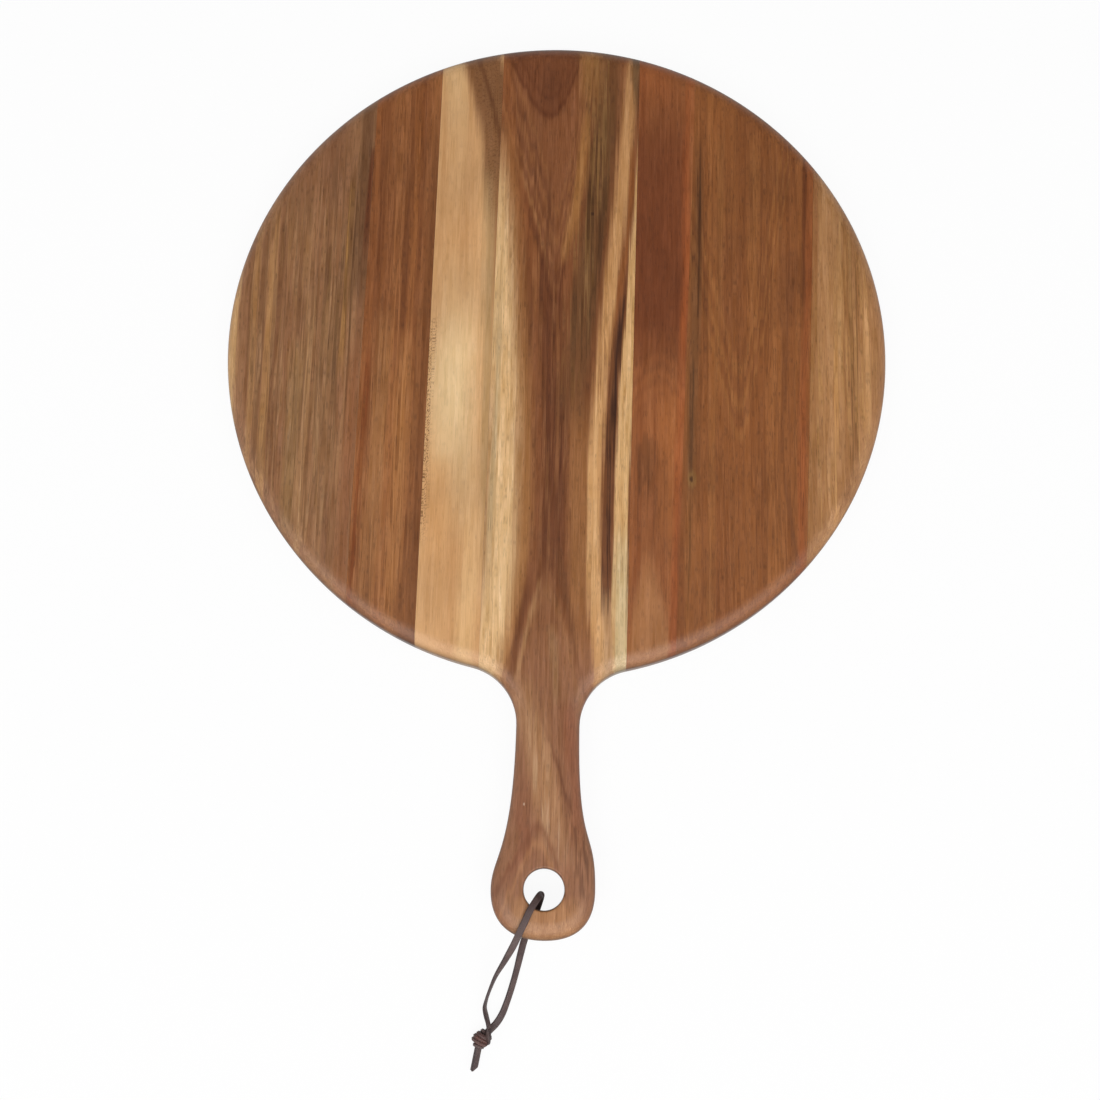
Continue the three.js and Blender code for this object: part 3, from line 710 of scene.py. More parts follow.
RIGHT_INNER = Plank(
    name="right_inner", seed=41, ripples=0.09, streaks=0.5, pores=0.25,
    brightness=((-150, 1.04), (-50, 1.04), (-10, 1.02), (80, 1.02), (150, 1.04)),
    features=(
        Streak("#6a361a", 14, 5, (
            (150, 46, 0), (112, 46, 0.5), (80, 46, 0.85), (25, 46, 0.9), (8, 46, 0.7), (-12, 46, 0),
        )),
        Streak("#904e25", 9, 8, ((155, 42, 0.7), (138, 42, 0.4), (118, 42, 0))),
        *(Arch("#a76335", 0.16, 4, ALONG, raised(RIPPLE, -drop)) for drop in (0, 8, 15)),
        *(Arch("#784223", 0.16, 4, ALONG, raised(RIPPLE, -drop)) for drop in (4, 12, 20)),
        Streak("#9e5f31", 4, 5, ((-20, 51, 0), (-40, 51, 0.6), (-75, 50, 0.5), (-95, 49, 0))),
        *(Streak("#5e3619", 0.8, 1.4, (
            (-38 - drop, 38 + aside, 0), (-46 - drop, 38 + aside, 0.6), (-54 - drop, 38.2 + aside, 0.6),
            (-64 - drop, 38.4 + aside, 0),
        )) for aside, drop in ((0.4, 6), (2.4, 0), (4.6, 3))),
        Streak("#7b4927", 6, 8, (
            (-40, 42.6, 0), (-52, 42.8, 0.4), (-76, 43.6, 0.4), (-94, 44.6, 0.3), (-106, 45, 0),
        )),
        Lines("#5a3318", 6.5, 6, (
            (-42, 42, 0), (-54, 42.4, 0.55), (-80, 43.2, 0.55), (-96, 44, 0.3), (-108, 44, 0),
        )),
        Arch("#ad794b", 0.55, 14, BELOW, ((34, -150), (38.5, -112), (42, -100), (48, -112), (54, -150))),
        Streak("#9e5327", 1.5, 2, (
            (145, 60, 0.3), (60, 58.6, 0.5), (20, 57.6, 0.7), (-20, 56.4, 0.4), (-60, 55.4, 0.5),
            (-140, 53.6, 0.5),
        )),
    ),
)

# The long arch of the right middle plank
FAINT_ARCH = ((64, 34), (70, 10), (77, -16), (84, -36), (88, -20), (93, 8), (98, 40))

RIGHT_MIDDLE = Plank(
    name="right_middle", seed=51, ripples=0.07, streaks=0.5, pores=0.3,
    brightness=((-140, 1.06), (-50, 1.06), (-10, 1.06), (30, 0.99), (80, 0.96), (140, 0.99)),
    features=(
        *(Arch("#a06a38", 0.3, 5, ALONG, raised(FAINT_ARCH, rise)) for rise in (-4, 10, 27)),
        *(Arch("#6d3d20", 0.3, 5, ALONG, raised(FAINT_ARCH, rise)) for rise in (3, 18, 36)),
        Streak("#734323", 5, 7, ((52, 106, 0), (38, 105, 0.55), (24, 104, 0.5), (10, 103, 0))),
        Streak("#734323", 5, 7, ((62, 79, 0), (44, 79, 0.5), (28, 79, 0.5), (8, 80, 0))),
        Streak("#9b6636", 1.6, 2.4, ((110, 74.5, 0), (80, 74.5, 0.4), (20, 73.5, 0.3), (-120, 70, 0.3))),
        Streak("#9b6435", 2, 3, ((110, 90.5, 0), (80, 90, 0.5), (20, 89, 0.3), (0, 88, 0))),
        Streak("#654225", 2.2, 3.4, (
            (110, 64.8, 0), (75, 64.4, 0.5), (30, 63.4, 0.55), (-5, 62.4, 0.6), (-50, 62, 0.6),
            (-75, 61.6, 0.2), (-130, 60.6, 0),
        )),
        Streak("#41240d", 0.6, 1.1, (
            (105, 64.6, 0), (84, 64.6, 0.8), (60, 64.6, 0.9), (26, 64, 0.8), (14, 63.6, 0),
        )),
        Streak("#452b15", 0.6, 1.1, ((-2, 62.2, 0), (-16, 62, 0.7), (-48, 61.8, 0.7), (-60, 61.8, 0))),
        Streak("#533415", 0.5, 1, ((-68, 61.4, 0), (-85, 61.2, 0.6), (-108, 60.8, 0.5), (-125, 60.4, 0))),
        Streak("#914d25", 1.8, 2.4, (
            (90, 115.6, 0.4), (0, 112.8, 0.6), (-60, 111.2, 0.7), (-100, 110, 0.7),
        )),
        Streak("#5e2e0f", 0.9, 1.4, ((98, 113.4, 0), (86, 113.2, 0.8), (50, 112.2, 0.8), (20, 111.6, 0))),
        Streak("#673b1d", 1, 1.6, (
            (-56, 103.6, 0), (-68, 104.8, 0.6), (-90, 107.5, 0.6), (-100, 108.4, 0),
        )),
        Streak("#673b1d", 1, 1.8, ((20, 104, 0), (0, 103.8, 0.5), (-40, 103, 0.5), (-52, 102.6, 0))),
        Lines("#653819", 26, 12, ((110, 88, 0.3), (40, 88, 0.4), (-60, 87, 0.4), (-120, 84, 0.3))),
        Knot("#8d6837", 62.4, -60.3, 2.4, 0.5),
        Knot("#43240d", 62, -60.3, 0.9, 0.9),
    ),
)

RIGHT_OUTER = Plank(
    name="right_outer", seed=61, ripples=0.05, streaks=0.7, pores=0.3,
    brightness=((-100, 1.03), (-20, 1.04), (40, 1.0), (90, 0.88)),
    features=(
        Streak("#8b552c", 1.6, 2, ((95, 118.6, 0.7), (60, 117.8, 0.6), (20, 116.6, 0.3), (-10, 116, 0))),
        Streak("#c7945c", 0.8, 1.2, ((12, 126.8, 0), (-15, 126.5, 0.8), (-65, 125.4, 0.7), (-82, 125, 0))),
        Streak("#bf905c", 0.8, 1.2, ((70, 129.8, 0), (50, 129.6, 0.6), (10, 129.2, 0.5), (-30, 129, 0))),
        Streak("#694020", 0.8, 1, ((58, 134.6, 0), (30, 134.2, 0.85), (-30, 133.6, 0.9), (-60, 133, 0))),
        Streak("#694020", 0.7, 1, ((52, 137, 0), (20, 136.6, 0.75), (-25, 136, 0.85), (-52, 135.4, 0))),
        Streak("#c2915d", 0.9, 1.4, ((45, 140.8, 0), (15, 140.8, 0.6), (-20, 140.6, 0.6), (-40, 140, 0))),
        Streak("#8c5b2d", 0.9, 1.4, ((40, 122.6, 0), (0, 122.2, 0.4), (-60, 121.2, 0.5), (-85, 120.8, 0))),
        Lines("#835322", 16, 8, ((80, 132, 0.3), (0, 131, 0.5), (-60, 128, 0.5), (-90, 122, 0.3))),
        Lines("#c6965f", 14, 8, ((70, 132, 0.2), (0, 131, 0.4), (-60, 128, 0.4), (-90, 122, 0.2))),
    ),
)

PLANKS = (LEFT_OUTER, LEFT_MIDDLE, LEFT_INNER, HANDLE, RIGHT_INNER, RIGHT_MIDDLE, RIGHT_OUTER)
# The glue seams between them, from left to right: place at y = 0 in millimetres, lean in degrees
SEAMS = ((-88.6, 0.8), (-58.0, 0.5), (-29.5, 0.5), (34.8, 0.5), (58.9, 1.5), (115.3, 1.5))


# Modelling

ROUND_STEPS = 360
FILLET_STEPS = 14
HANDLE_STEPS = 28
EDGE_SEGMENTS = 10
HOLE_STEPS = 72
HOLE_EDGE_SEGMENTS = 4
DRILL_LENGTH = 4  # in thicknesses of the board
ROUND_PROFILE = 0.5
SHARP_ANGLE = math.radians(50)  # a sharper edge is one to round over
FACE_ANGLE = math.radians(40)  # a flatter edge is shaded smooth
LACE_ANGLE = math.radians(50)  # the same for the lace
UPRIGHT = 0.99  # how far a face's normal points up where the face is level
WELD = 0.01 * MM  # closer points are one
# Margins for selecting points and edges by their place
HOLE_MARGIN = 0.1 * MM
MOUTH_MARGIN = 0.5 * MM
WALL_MARGIN = 1 * MM


def deselect_all():
    """Leaves nothing selected, because each operator acts on all that is."""
    if bpy.context.object and bpy.context.object.mode != "OBJECT":
        bpy.ops.object.mode_set(mode="OBJECT")
    bpy.ops.object.select_all(action="DESELECT")


def select_only(piece):
    """Makes one object the only one selected, and active."""
    deselect_all()
    piece.select_set(True)
    bpy.context.view_layer.objects.active = piece


def edit_all(piece):
    """Opens a piece in edit mode with everything selected."""
    select_only(piece)
    bpy.ops.object.mode_set(mode="EDIT")
    bpy.ops.mesh.select_all(action="SELECT")


def select_vertices(piece, wanted):
    """Selects the vertices whose place is wanted, in edit mode."""
    bpy.ops.mesh.select_mode(type="VERT")
    bpy.ops.mesh.select_all(action="DESELECT")
    shape = bmesh.from_edit_mesh(piece.data)
    for vertex in shape.verts:
        vertex.select = wanted(vertex.co)
    shape.select_flush_mode()
    bmesh.update_edit_mesh(piece.data)


def select_sharp_edges(piece, wanted):
    """Selects the edges between two walls at a sharp angle, where their middle is wanted."""
    bpy.ops.mesh.select_mode(type="EDGE")
    bpy.ops.mesh.select_all(action="DESELECT")
    shape = bmesh.from_edit_mesh(piece.data)
    for edge in shape.edges:
        middle = (edge.verts[0].co + edge.verts[1].co) / 2
        sharp = edge.is_manifold and edge.calc_face_angle() > SHARP_ANGLE
        edge.select = sharp and wanted(middle)
    shape.select_flush_mode()
    bmesh.update_edit_mesh(piece.data)


def extrude_through(points):
    """Draws the outline on, from its selected end through the points."""
    for start, end in zip(points, points[1:]):
        bpy.ops.mesh.extrude_region_move(TRANSFORM_OT_translate={"value": end - start})


def handle_side(sizes, side, bulb, pull):
    """One side of the handle's outline, from the round to the middle of the handle's end."""
    neck = sizes.neck_width / 2
    filleted = sizes.round_radius + sizes.neck_fillet
    fillet_x = neck + sizes.neck_fillet
    fillet_y = -math.sqrt(filleted ** 2 - fillet_x ** 2)
    end_y = BOARD_LOW.y
    bulb_y = end_y + sizes.bulb_from_end
    start = math.atan2(-fillet_y, -fillet_x)
    points = []
    for i in range(FILLET_STEPS + 1):
        angle = start + (math.pi - start) * i / FILLET_STEPS
        x = fillet_x + sizes.neck_fillet * math.cos(angle)
        points.append(Vector((x, fillet_y + sizes.neck_fillet * math.sin(angle), 0)))
    swelling = interpolate_bezier(
        (neck, fillet_y), (neck, fillet_y - sizes.neck_pull),
        (bulb, bulb_y + pull), (bulb, bulb_y), HANDLE_STEPS,
    )
    rounding = interpolate_bezier(
        (bulb, bulb_y), (bulb, bulb_y - sizes.bulb_corner_pull),
        (sizes.bulb_end_flat, end_y), (0, end_y), HANDLE_STEPS,
    )
    points += [Vector((p.x, p.y, 0)) for p in swelling[1:] + rounding[1:]]
    return [Vector((p.x * side, p.y, 0)) for p in points]


def draw_outline(sizes):
    """The board's outline: a circle, opened where the handle joins it and drawn on round it."""
    deselect_all()
    bpy.ops.mesh.primitive_circle_add(vertices=ROUND_STEPS, radius=sizes.round_radius)
    blank = bpy.context.object
    bpy.ops.object.mode_set(mode="EDIT")
    sides = [
        handle_side(sizes, 1, sizes.bulb_right, sizes.pull_right),
        handle_side(sizes, -1, sizes.bulb_left, sizes.pull_left),
    ]
    mouth = sides[0][0]
    select_vertices(blank, lambda p: p.y < 0 and abs(p.x) < mouth.x + MOUTH_MARGIN)
    bpy.ops.mesh.delete(type="VERT")
    for points in sides:
        ends = [v.co.copy() for v in bmesh.from_edit_mesh(blank.data).verts]
        nearest = min(ends, key=lambda p: (p - points[0]).length)
        select_vertices(blank, lambda p: (p - nearest).length < WELD)
        extrude_through([nearest, *points])
    bpy.ops.mesh.select_all(action="SELECT")
    bpy.ops.mesh.remove_doubles(threshold=WELD)
    bpy.ops.mesh.edge_face_add()
    return blank


def board_blank(sizes):
    """The board in one piece: its outline raised, lifted under the handle's end, rounded over along
    both faces and drilled."""
    blank = draw_outline(sizes)
    wall = sizes.thickness - sizes.edge_depth
    bpy.ops.mesh.extrude_region_move(TRANSFORM_OT_translate={"value": (0, 0, wall)})
    bpy.ops.mesh.select_all(action="SELECT")
    bpy.ops.mesh.normals_make_consistent(inside=False)
    lift_start = BOARD_LOW.y + sizes.lift_length
    slope = sizes.lift_at_hole / (lift_start - HOLE.y)
    bpy.ops.mesh.bisect(
        plane_co=(0, lift_start, 0), plane_no=(0, slope, 1), use_fill=True, clear_inner=True
    )
    select_sharp_edges(blank, lambda p: p.z < wall - WALL_MARGIN)
    bpy.ops.mesh.bevel(
        offset=sizes.lower_radius, segments=EDGE_SEGMENTS, profile=ROUND_PROFILE, affect="EDGES",
        clamp_overlap=False,
    )
    ease_upper_edge(blank, sizes)
    bpy.ops.object.mode_set(mode="OBJECT")
    drill_hole(blank, sizes)
    return blank


def ease_upper_edge(blank, sizes):
    """The upper round-over, wider than it is deep: the face steps in and up along an ellipse."""
    bpy.ops.mesh.select_mode(type="FACE")
    bpy.ops.mesh.select_all(action="DESELECT")
    shape = bmesh.from_edit_mesh(blank.data)
    for face in shape.faces:
        face.select = face.normal.z > UPRIGHT
    bmesh.update_edit_mesh(blank.data)
    reached = Vector((0, 0))
    for step in range(1, EDGE_SEGMENTS + 1):
        turn = math.pi / 2 * step / EDGE_SEGMENTS
        place = Vector((sizes.edge_width * (1 - math.cos(turn)), sizes.edge_depth * math.sin(turn)))
        bpy.ops.mesh.inset(thickness=place.x - reached.x, depth=place.y - reached.y)
        reached = place


def drill_hole(blank, sizes):
    """The hanging hole, with its edges rounded over."""
    deselect_all()
    bpy.ops.mesh.primitive_cylinder_add(
        vertices=HOLE_STEPS, radius=sizes.hole_diameter / 2, depth=DRILL_LENGTH * sizes.thickness,
        location=(HOLE.x, HOLE.y, sizes.thickness / 2),
    )
    drill = bpy.context.object
    select_only(blank)
    bpy.ops.object.modifier_add(type="BOOLEAN")
    cut = blank.modifiers[-1]
    cut.operation = "DIFFERENCE"
    cut.object = drill
    bpy.ops.object.modifier_apply(modifier=cut.name)
    bpy.data.objects.remove(drill)
    edit_all(blank)
    reach = sizes.hole_diameter / 2 + HOLE_MARGIN
    select_sharp_edges(blank, lambda p: (p.xy - HOLE.xy).length < reach)
    bpy.ops.mesh.bevel(
        offset=sizes.hole_edge_radius, segments=HOLE_EDGE_SEGMENTS, profile=ROUND_PROFILE,
        affect="EDGES", clamp_overlap=False,
    )
    bpy.ops.object.mode_set(mode="OBJECT")


def rip_plank(blank, index, sizes):
    """One plank: a copy of the board cut along the seams on both its sides."""
    select_only(blank)
    bpy.ops.object.duplicate(linked=False)
    plank = bpy.context.object
    bpy.ops.object.mode_set(mode="EDIT")
    for seam, side in ((index - 1, 1), (index, -1)):
        if not 0 <= seam < len(SEAMS):
            continue
        place, lean = SEAMS[seam]
        x = place * MM + side * sizes.glue_line / 2
        away = Vector((side, -side * math.tan(math.radians(lean)), 0))
        bpy.ops.mesh.select_all(action="SELECT")
        bpy.ops.mesh.bisect(plane_co=(x, 0, 0), plane_no=away, use_fill=True, clear_inner=True)
    bpy.ops.mesh.select_all(action="SELECT")
    bpy.ops.mesh.normals_make_consistent(inside=False)
    bpy.ops.object.mode_set(mode="OBJECT")
    smooth(plank)
    return plank


def smooth(piece):
    """Smooth shading that keeps flat faces flat and cut edges crisp."""
    select_only(piece)
    bpy.ops.object.shade_smooth_by_angle(angle=FACE_ANGLE)
    bpy.ops.object.modifier_add(type="WEIGHTED_NORMAL")
    weighted = piece.modifiers[-1]
    weighted.keep_sharp = True
    bpy.ops.object.modifier_apply(modifier=weighted.name)


def finish_piece(piece, name, material, body, slot, *nodes):
    """Names a piece, gives it its material and lets it stand for its nodes."""
    piece.name = name
    piece.data.name = name
    piece.data.materials.clear()
    piece.data.materials.append(material)
    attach(piece, body)
    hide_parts(*nodes)
    return piece


# The thong. Its route follows the solid lace's within 0.2 mm: x and y from the middle of the hole and
# the height of the lace's middle, in millimetres. The last value is the lace's twist in degrees.
LACE_LOW = 0.7
LACE_TOP = 15.9
LACE_RISE = LACE_TOP - LACE_LOW
LACE_CLEARANCE = 0.3
THONG_ROUTE = (
    (-21.6, -58.2, 4.7, 62),
    (-22.2, -55.8, 4.3, 70),
    (-23.2, -52.6, 3.4, 66),
    (-23.9, -49.4, 2.6, 74),
    (-23.3, -46.2, 2.7, 84),
    (-22.2, -42.8, 3.7, 85),
    (-19.6, -36.4, 7.0, 74),
    (-15.7, -29.6, 11.2, 50),
    (-12.2, -23.2, 14.6, 15),
    (-10.2, -18.8, LACE_TOP - LACE_CLEARANCE, 0),
    (-7.9, -13.7, LACE_TOP, 0),
    (-5.6, -8.6, LACE_TOP, 0),
    (-3.62, -5.27, LACE_LOW + 0.945 * LACE_RISE, 0),
    (-2.07, -2.89, LACE_LOW + 0.75 * LACE_RISE, 0),
    (-1.26, -2.12, LACE_LOW + 0.5 * LACE_RISE, 0),
    (-1.31, -3.23, LACE_LOW + 0.25 * LACE_RISE, 0),
    (-2.11, -5.97, LACE_LOW + 0.07 * LACE_RISE, 0),
    (-3.33, -9.64, LACE_LOW + 0.01 * LACE_RISE, 0),
    (-5.6, -15.2, LACE_LOW, 0),
    (-7.8, -20.9, LACE_LOW, 0),
    (-9.2, -26.4, 1.1, -20),
    (-10.7, -33.1, 1.5, -38),
    (-12.4, -39.8, 1.5, -40),
    (-14.4, -46.4, 1.5, -40),
    (-16.6, -52.2, 1.4, -25),
    (-18.9, -55.9, 1.2, -8),
    (-21.2, -58.3, 1.2, 0),
)
KNOT_START = Vector((-22.1, -59.4, 3.02))
KNOT_HEADING = math.radians(27)
KNOT_AXIS = Vector((-math.sin(KNOT_HEADING), -math.cos(KNOT_HEADING), 0))
KNOT_SIDE = Vector((-KNOT_AXIS.y, KNOT_AXIS.x, 0))
KNOT_LENGTH = 7.4
KNOT_FLATTENING = 0.7
KNOT_WRAPS = 4
WRAP_WIDTH = 1.9  # the lace rolls up narrower and thicker where it is pulled tight
WRAP_THICKNESS = 1.4
WRAP_EDGE = 0.5
WRAP_CROWN = 0.3
WRAP_RADIUS = 2.6  # to the middle of the lace's thickness
WRAP_START = 2.2  # where round the knot the first wrap starts, in radians
WRAP_TIP = 0.45  # the share of the radius at which the wraps start and end
WRAP_OPENING = 1.6  # how much of the radius one turn adds from there
WRAP_MARGIN = 0.1  # the share of the knot's length before the wraps, and after them
WRAP_UNEVENNESS = 0.1
WRAP_BULGES = 1.7  # to one turn
WRAP_SLANT = 0.4  # how far a wrap leans along the knot
WRAP_SLANT_TURN = 0.6
WRAP_SHIFT = 1.5  # how far each wrap has been pulled to the left, the last one most
WRAP_FIRST_SHIFT = 0.3  # the first wrap's share of it
WRAP_STEPS = 40
FLESH_PEAK = 1.9  # the flesh side shows on the middle wraps
FLESH_FADE = 1.3  # and fades by this much to a turn
TAIL_START = 9.5  # along the knot's axis
TAIL_TUCK = 4.4  # how far a tail reaches into the knot
TAIL_STEPS = 12
LACE_STEPS = 12  # steps between two points of a route
LACE_STEADINESS = 0.3  # how much of its last direction the lace's width keeps at each step
CORNER_STEPS = 3
FACE_STEPS = 4
UP = Vector((0, 0, 1))


def from_hole(x, y, z):
    """A place given from the middle of the hole in millimetres, in the board's frame."""
    return Vector((HOLE.x + x * MM, HOLE.y + y * MM, z * MM))


# How a point on a smooth curve comes from four points: pairs of times that each step mixes between
CURVE_STEPS = (((0, 1), (1, 2), (2, 3)), ((0, 2), (1, 3)), ((1, 2),))


def smooth_route(route):
    """A smooth line through the route's points: places from the hole, each with a twist."""
    points = [Vector(p) for p in route]
    points.insert(0, 2 * points[0] - points[1])
    points.append(2 * points[-1] - points[-2])
    times = [0]
    for a, b in zip(points, points[1:]):
        times.append(times[-1] + math.sqrt((b.to_3d() - a.to_3d()).length))
    line = []
    for i in range(len(points) - 3):
        for step in range(LACE_STEPS):
            line.append(on_curve(points[i:i + 4], times[i:i + 4], step / LACE_STEPS))
    line.append(points[-2])
    return [(from_hole(*p.to_3d()), p.w) for p in line]


def on_curve(points, times, share):
    """The place at that share of the way from the second of four points to the third."""
    time = times[1] + (times[2] - times[1]) * share
    for pairs in CURVE_STEPS:
        points = [
            points[i].lerp(points[i + 1], (time - times[a]) / (times[b] - times[a]))
            for i, (a, b) in enumerate(pairs)
        ]
    return points[0]


# One cross-section of a lace: where it is, the way its width and its thickness point, and how much
# of its rough flesh side shows.
Ring = namedtuple("Ring", "place width thickness flesh")


def lace_rings(line):
    """The lace's rings along a line. It lies level across its run where the twist is 0."""
    rings = []
    width = None
    for i, (place, twist) in enumerate(line):
        run = line[min(i + 1, len(line) - 1)][0] - line[max(i - 1, 0)][0]
        run.normalize()
        level = run.cross(UP)
        if width:
            if level.dot(width) < 0:
                level.negate()
            level += LACE_STEADINESS * width
            level -= run * level.dot(run)
        width = level.normalized()
        turned = Matrix.Rotation(math.radians(twist), 3, run) @ width
        rings.append(Ring(place, turned, run.cross(turned), 0))
    return rings


def lace_section(width, thickness, edge, crown):
    """The lace's outline: a flat strip with rounded edges and faces that swell by the crown. Each
    point is across, through, and 1 on the cut edges or 0 on the faces."""
    section = []
    for side, face in ((1, 1), (-1, 1), (-1, -1), (1, -1)):
        arc = []
        for i in range(CORNER_STEPS + 1):
            angle = math.pi / 2 * i / CORNER_STEPS
            across = side * (width / 2 - edge + edge * math.cos(angle))
            through = face * (thickness / 2 - edge + edge * math.sin(angle))
            arc.append((across, through, math.cos(angle)))
        section += arc if side == face else arc[::-1]
        if side == face:
            for i in range(1, FACE_STEPS):
                share = 1 - 2 * i / FACE_STEPS
                swell = crown * (1 - share * share)
                section.append((side * share * (width / 2 - edge), face * (thickness / 2 + swell), 0))
    return section


def add_strip(name, rings, section):
    """A closed strip of lace with that section at each ring."""
    shape = bmesh.new()
    cut_edge = shape.verts.layers.float.new("cut_edge")
    flesh = shape.verts.layers.float.new("flesh")
    loops = []
    for ring in rings:
        loop = []
        for across, through, edge in section:
            vertex = shape.verts.new(ring.place + ring.width * across + ring.thickness * through)
            vertex[cut_edge] = edge
            vertex[flesh] = ring.flesh
            loop.append(vertex)
        loops.append(loop)
    for a, b in zip(loops, loops[1:]):
        for i in range(len(section)):
            shape.faces.new((a[i - 1], a[i], b[i], b[i - 1]))
    shape.faces.new(loops[0])
    shape.faces.new(loops[-1])
    bmesh.ops.recalc_face_normals(shape, faces=shape.faces)
    mesh = bpy.data.meshes.new(name)
    shape.to_mesh(mesh)
    shape.free()
    strip = bpy.data.objects.new(name, mesh)
    bpy.context.collection.objects.link(strip)
    select_only(strip)
    bpy.ops.object.shade_smooth_by_angle(angle=LACE_ANGLE)
    return strip


def flat_lace(thong, layers=1):
    """The section of the lace as it was cut, or of layers of it."""
    return lace_section(thong.lace_width, layers * thong.lace_thickness, thong.lace_edge, 0)


def in_knot(forth, aside, up):
    """A place in the knot: forth along its axis, to its right, and up. It is given from the hole, in
    millimetres."""
    return KNOT_START + KNOT_AXIS * forth + KNOT_SIDE * aside + UP * up * KNOT_FLATTENING


def wrap_rings():
    """The lace's turns round the knot, uneven as a hand ties them."""
    line = []
    count = KNOT_WRAPS * WRAP_STEPS
    for i in range(count + 1):
        turn = KNOT_WRAPS * i / count
        angle = 2 * math.pi * turn + WRAP_START
        bulge = 1 + WRAP_UNEVENNESS * math.sin(WRAP_BULGES * angle)
        taper = min(1, WRAP_TIP + WRAP_OPENING * min(turn, KNOT_WRAPS - turn))
        radius = WRAP_RADIUS * bulge * taper
        forth = KNOT_LENGTH * (WRAP_MARGIN + (1 - 2 * WRAP_MARGIN) * turn / KNOT_WRAPS)
        forth += WRAP_SLANT * math.sin(angle + WRAP_SLANT_TURN)
        aside = radius * math.cos(angle) - WRAP_SHIFT * (WRAP_FIRST_SHIFT + turn / KNOT_WRAPS)
        line.append((from_hole(*in_knot(forth, aside, radius * math.sin(angle))), turn))
    rings = []
    for i, (place, turn) in enumerate(line):
        run = line[min(i + 1, count)][0] - line[max(i - 1, 0)][0]
        run.normalize()
        width = (KNOT_AXIS - run * KNOT_AXIS.dot(run)).normalized()
        flesh = min(1, max(0, FLESH_PEAK - FLESH_FADE * abs(turn - KNOT_WRAPS / 2)))
        rings.append(Ring(place, width, run.cross(width), flesh))
    return rings


def strand_rings(places):
    """A strand that follows places in the knot, each with a twist."""
    return lace_rings(smooth_route([(*in_knot(*place), twist) for *place, twist in places]))


# The strand of the loop that crosses over the knot's first wrap and tucks in under the second,
# the loop's lower strand where it goes in, and the two strands that run through the wraps, drawn as
# one of two layers: forth, to the right, up and twist
CROSSING_STRAND = (
    (-1.4, -0.1, 2.4, 62), (0.2, 0.4, 3.8, 60), (1.6, 0.9, 4.2, 55), (2.8, 1.5, 3.0, 60),
    (3.3, 1.7, 0.8, 75),
)
LOWER_STRAND = ((-1.5, 0.35, -2.6, 0), (0.6, -0.4, -1.4, 20), (2.4, -1.2, -0.2, 40), (4.6, -0.6, 0, 10))
THROUGH_STRANDS = ((1.2, 0, 0.2, 0), (3.6, 0, 0, 0), (6.8, 0, -0.4, 0))


def tail_rings(tail, thong):
    """One free end, straight out of the knot and a little past its cut."""
    heading = math.radians(tail.heading)
    run = Vector((-math.sin(heading), -math.cos(heading), 0))
    level = Vector((math.cos(heading), -math.sin(heading), 0))
    width = Matrix.Rotation(math.radians(tail.roll), 3, run) @ level
    start = in_knot(TAIL_START, tail.aside, 0)
    rings = []
    for i in range(TAIL_STEPS + 1):
        share = i / TAIL_STEPS
        reach = share * (thong.tail_length + TAIL_TUCK * MM) - TAIL_TUCK * MM
        place = from_hole(start.x, start.y, tail.height) + run * reach
        place.z += tail.rise * MM * (1 - share) ** 2
        rings.append(Ring(place, width, run.cross(width), 0))
    return rings


# One tail lies flat, and the other is turned half on edge above it. A tail's heading and its roll are
# in degrees, and it comes out of the knot higher by its rise.
Tail = namedtuple("Tail", "node aside heading height rise roll")
TAILS = (
    Tail("thong_tail_lower", -0.1, 10, 0.7, 0.6, 0),
    Tail("thong_tail_upper", 0.1, 9.5, 2.9, 0.4, -50),
)


# Patterns of the leather
RUBS = Pattern(7, 7, 2, 0.35, 0.65, 1)
CREASES = Pattern(0.5, 0.5, 3, 0.3, 0.7, 2)  # about twice as coarse as real ones, or they would not show
DAPPLES = Pattern(1.2, 1.2, 2, 0.4, 0.6, 3)
LEATHER_SEED = 70
LEAST_FLESH = 0.3  # the share of the flesh side's colour between its dapples
CUT_EDGE = span(0.3, 1.0, 0.0, 0.7)  # how much of its own colour the cut edge shows
# painted shade in the creases, and painted light on the skin between them
CREASE_PAINTED_SHADE = span(0.0, 1.0, 0.8, 1.15)
LEATHER_SHEEN = span(0.0, 1.0, 0.62, 0.48)  # roughness, from the creases to the skin between them
LEATHER_IOR = 1.5
CREASE_DEPTH = 0.032
CREASE_BUMP = 0.5


def lace_leather(thong):
    """Cowhide lace, dyed dark brown and cut flat: a satin face with fine creases, with painted shade in
    them and painted light between them, rubbed greyer here and there, a darker cut edge and a redder flesh
    side."""
    material = new_material("dyed_cowhide_lace")
    tree = material.node_tree
    point = point_in_millimetres(tree)
    creases = real_pattern(tree, point, CREASES, LEATHER_SEED)
    rubbed = real_pattern(tree, point, RUBS, LEATHER_SEED)
    dapples = real_pattern(tree, point, DAPPLES, LEATHER_SEED, LEAST_FLESH)
    flesh = node(tree, "Attribute", attribute_name="flesh")
    dappled = node(tree, "Math", {0: flesh.outputs["Fac"], 1: dapples}, operation="MULTIPLY")
    cut_edge = node(tree, "Attribute", attribute_name="cut_edge")
    edged = node(tree, "MapRange", {"Value": cut_edge.outputs["Fac"], **CUT_EDGE})
    colour = laid_over(tree, opaque(thong.face), [
        (rubbed, thong.worn),
        (dappled.outputs[0], thong.flesh),
        (edged.outputs[0], thong.edge),
    ])
    crease_painted_shade = node(tree, "MapRange", {"Value": creases, **CREASE_PAINTED_SHADE})
    roughness = node(tree, "MapRange", {"Value": creases, **LEATHER_SHEEN})
    bump = node(tree, "Bump", {
        "Height": creases,
        "Distance": CREASE_DEPTH * MM,
        "Strength": CREASE_BUMP,
    })
    shader = node(tree, "BsdfPrincipled", {
        "Base Color": shaded(tree, colour, [(crease_painted_shade.outputs[0], 1.0)]),
        "Roughness": roughness.outputs[0],
        "IOR": LEATHER_IOR,
        "Normal": bump.outputs[0],
    })
    node(tree, "OutputMaterial", {"Surface": shader.outputs[0]})
    return material


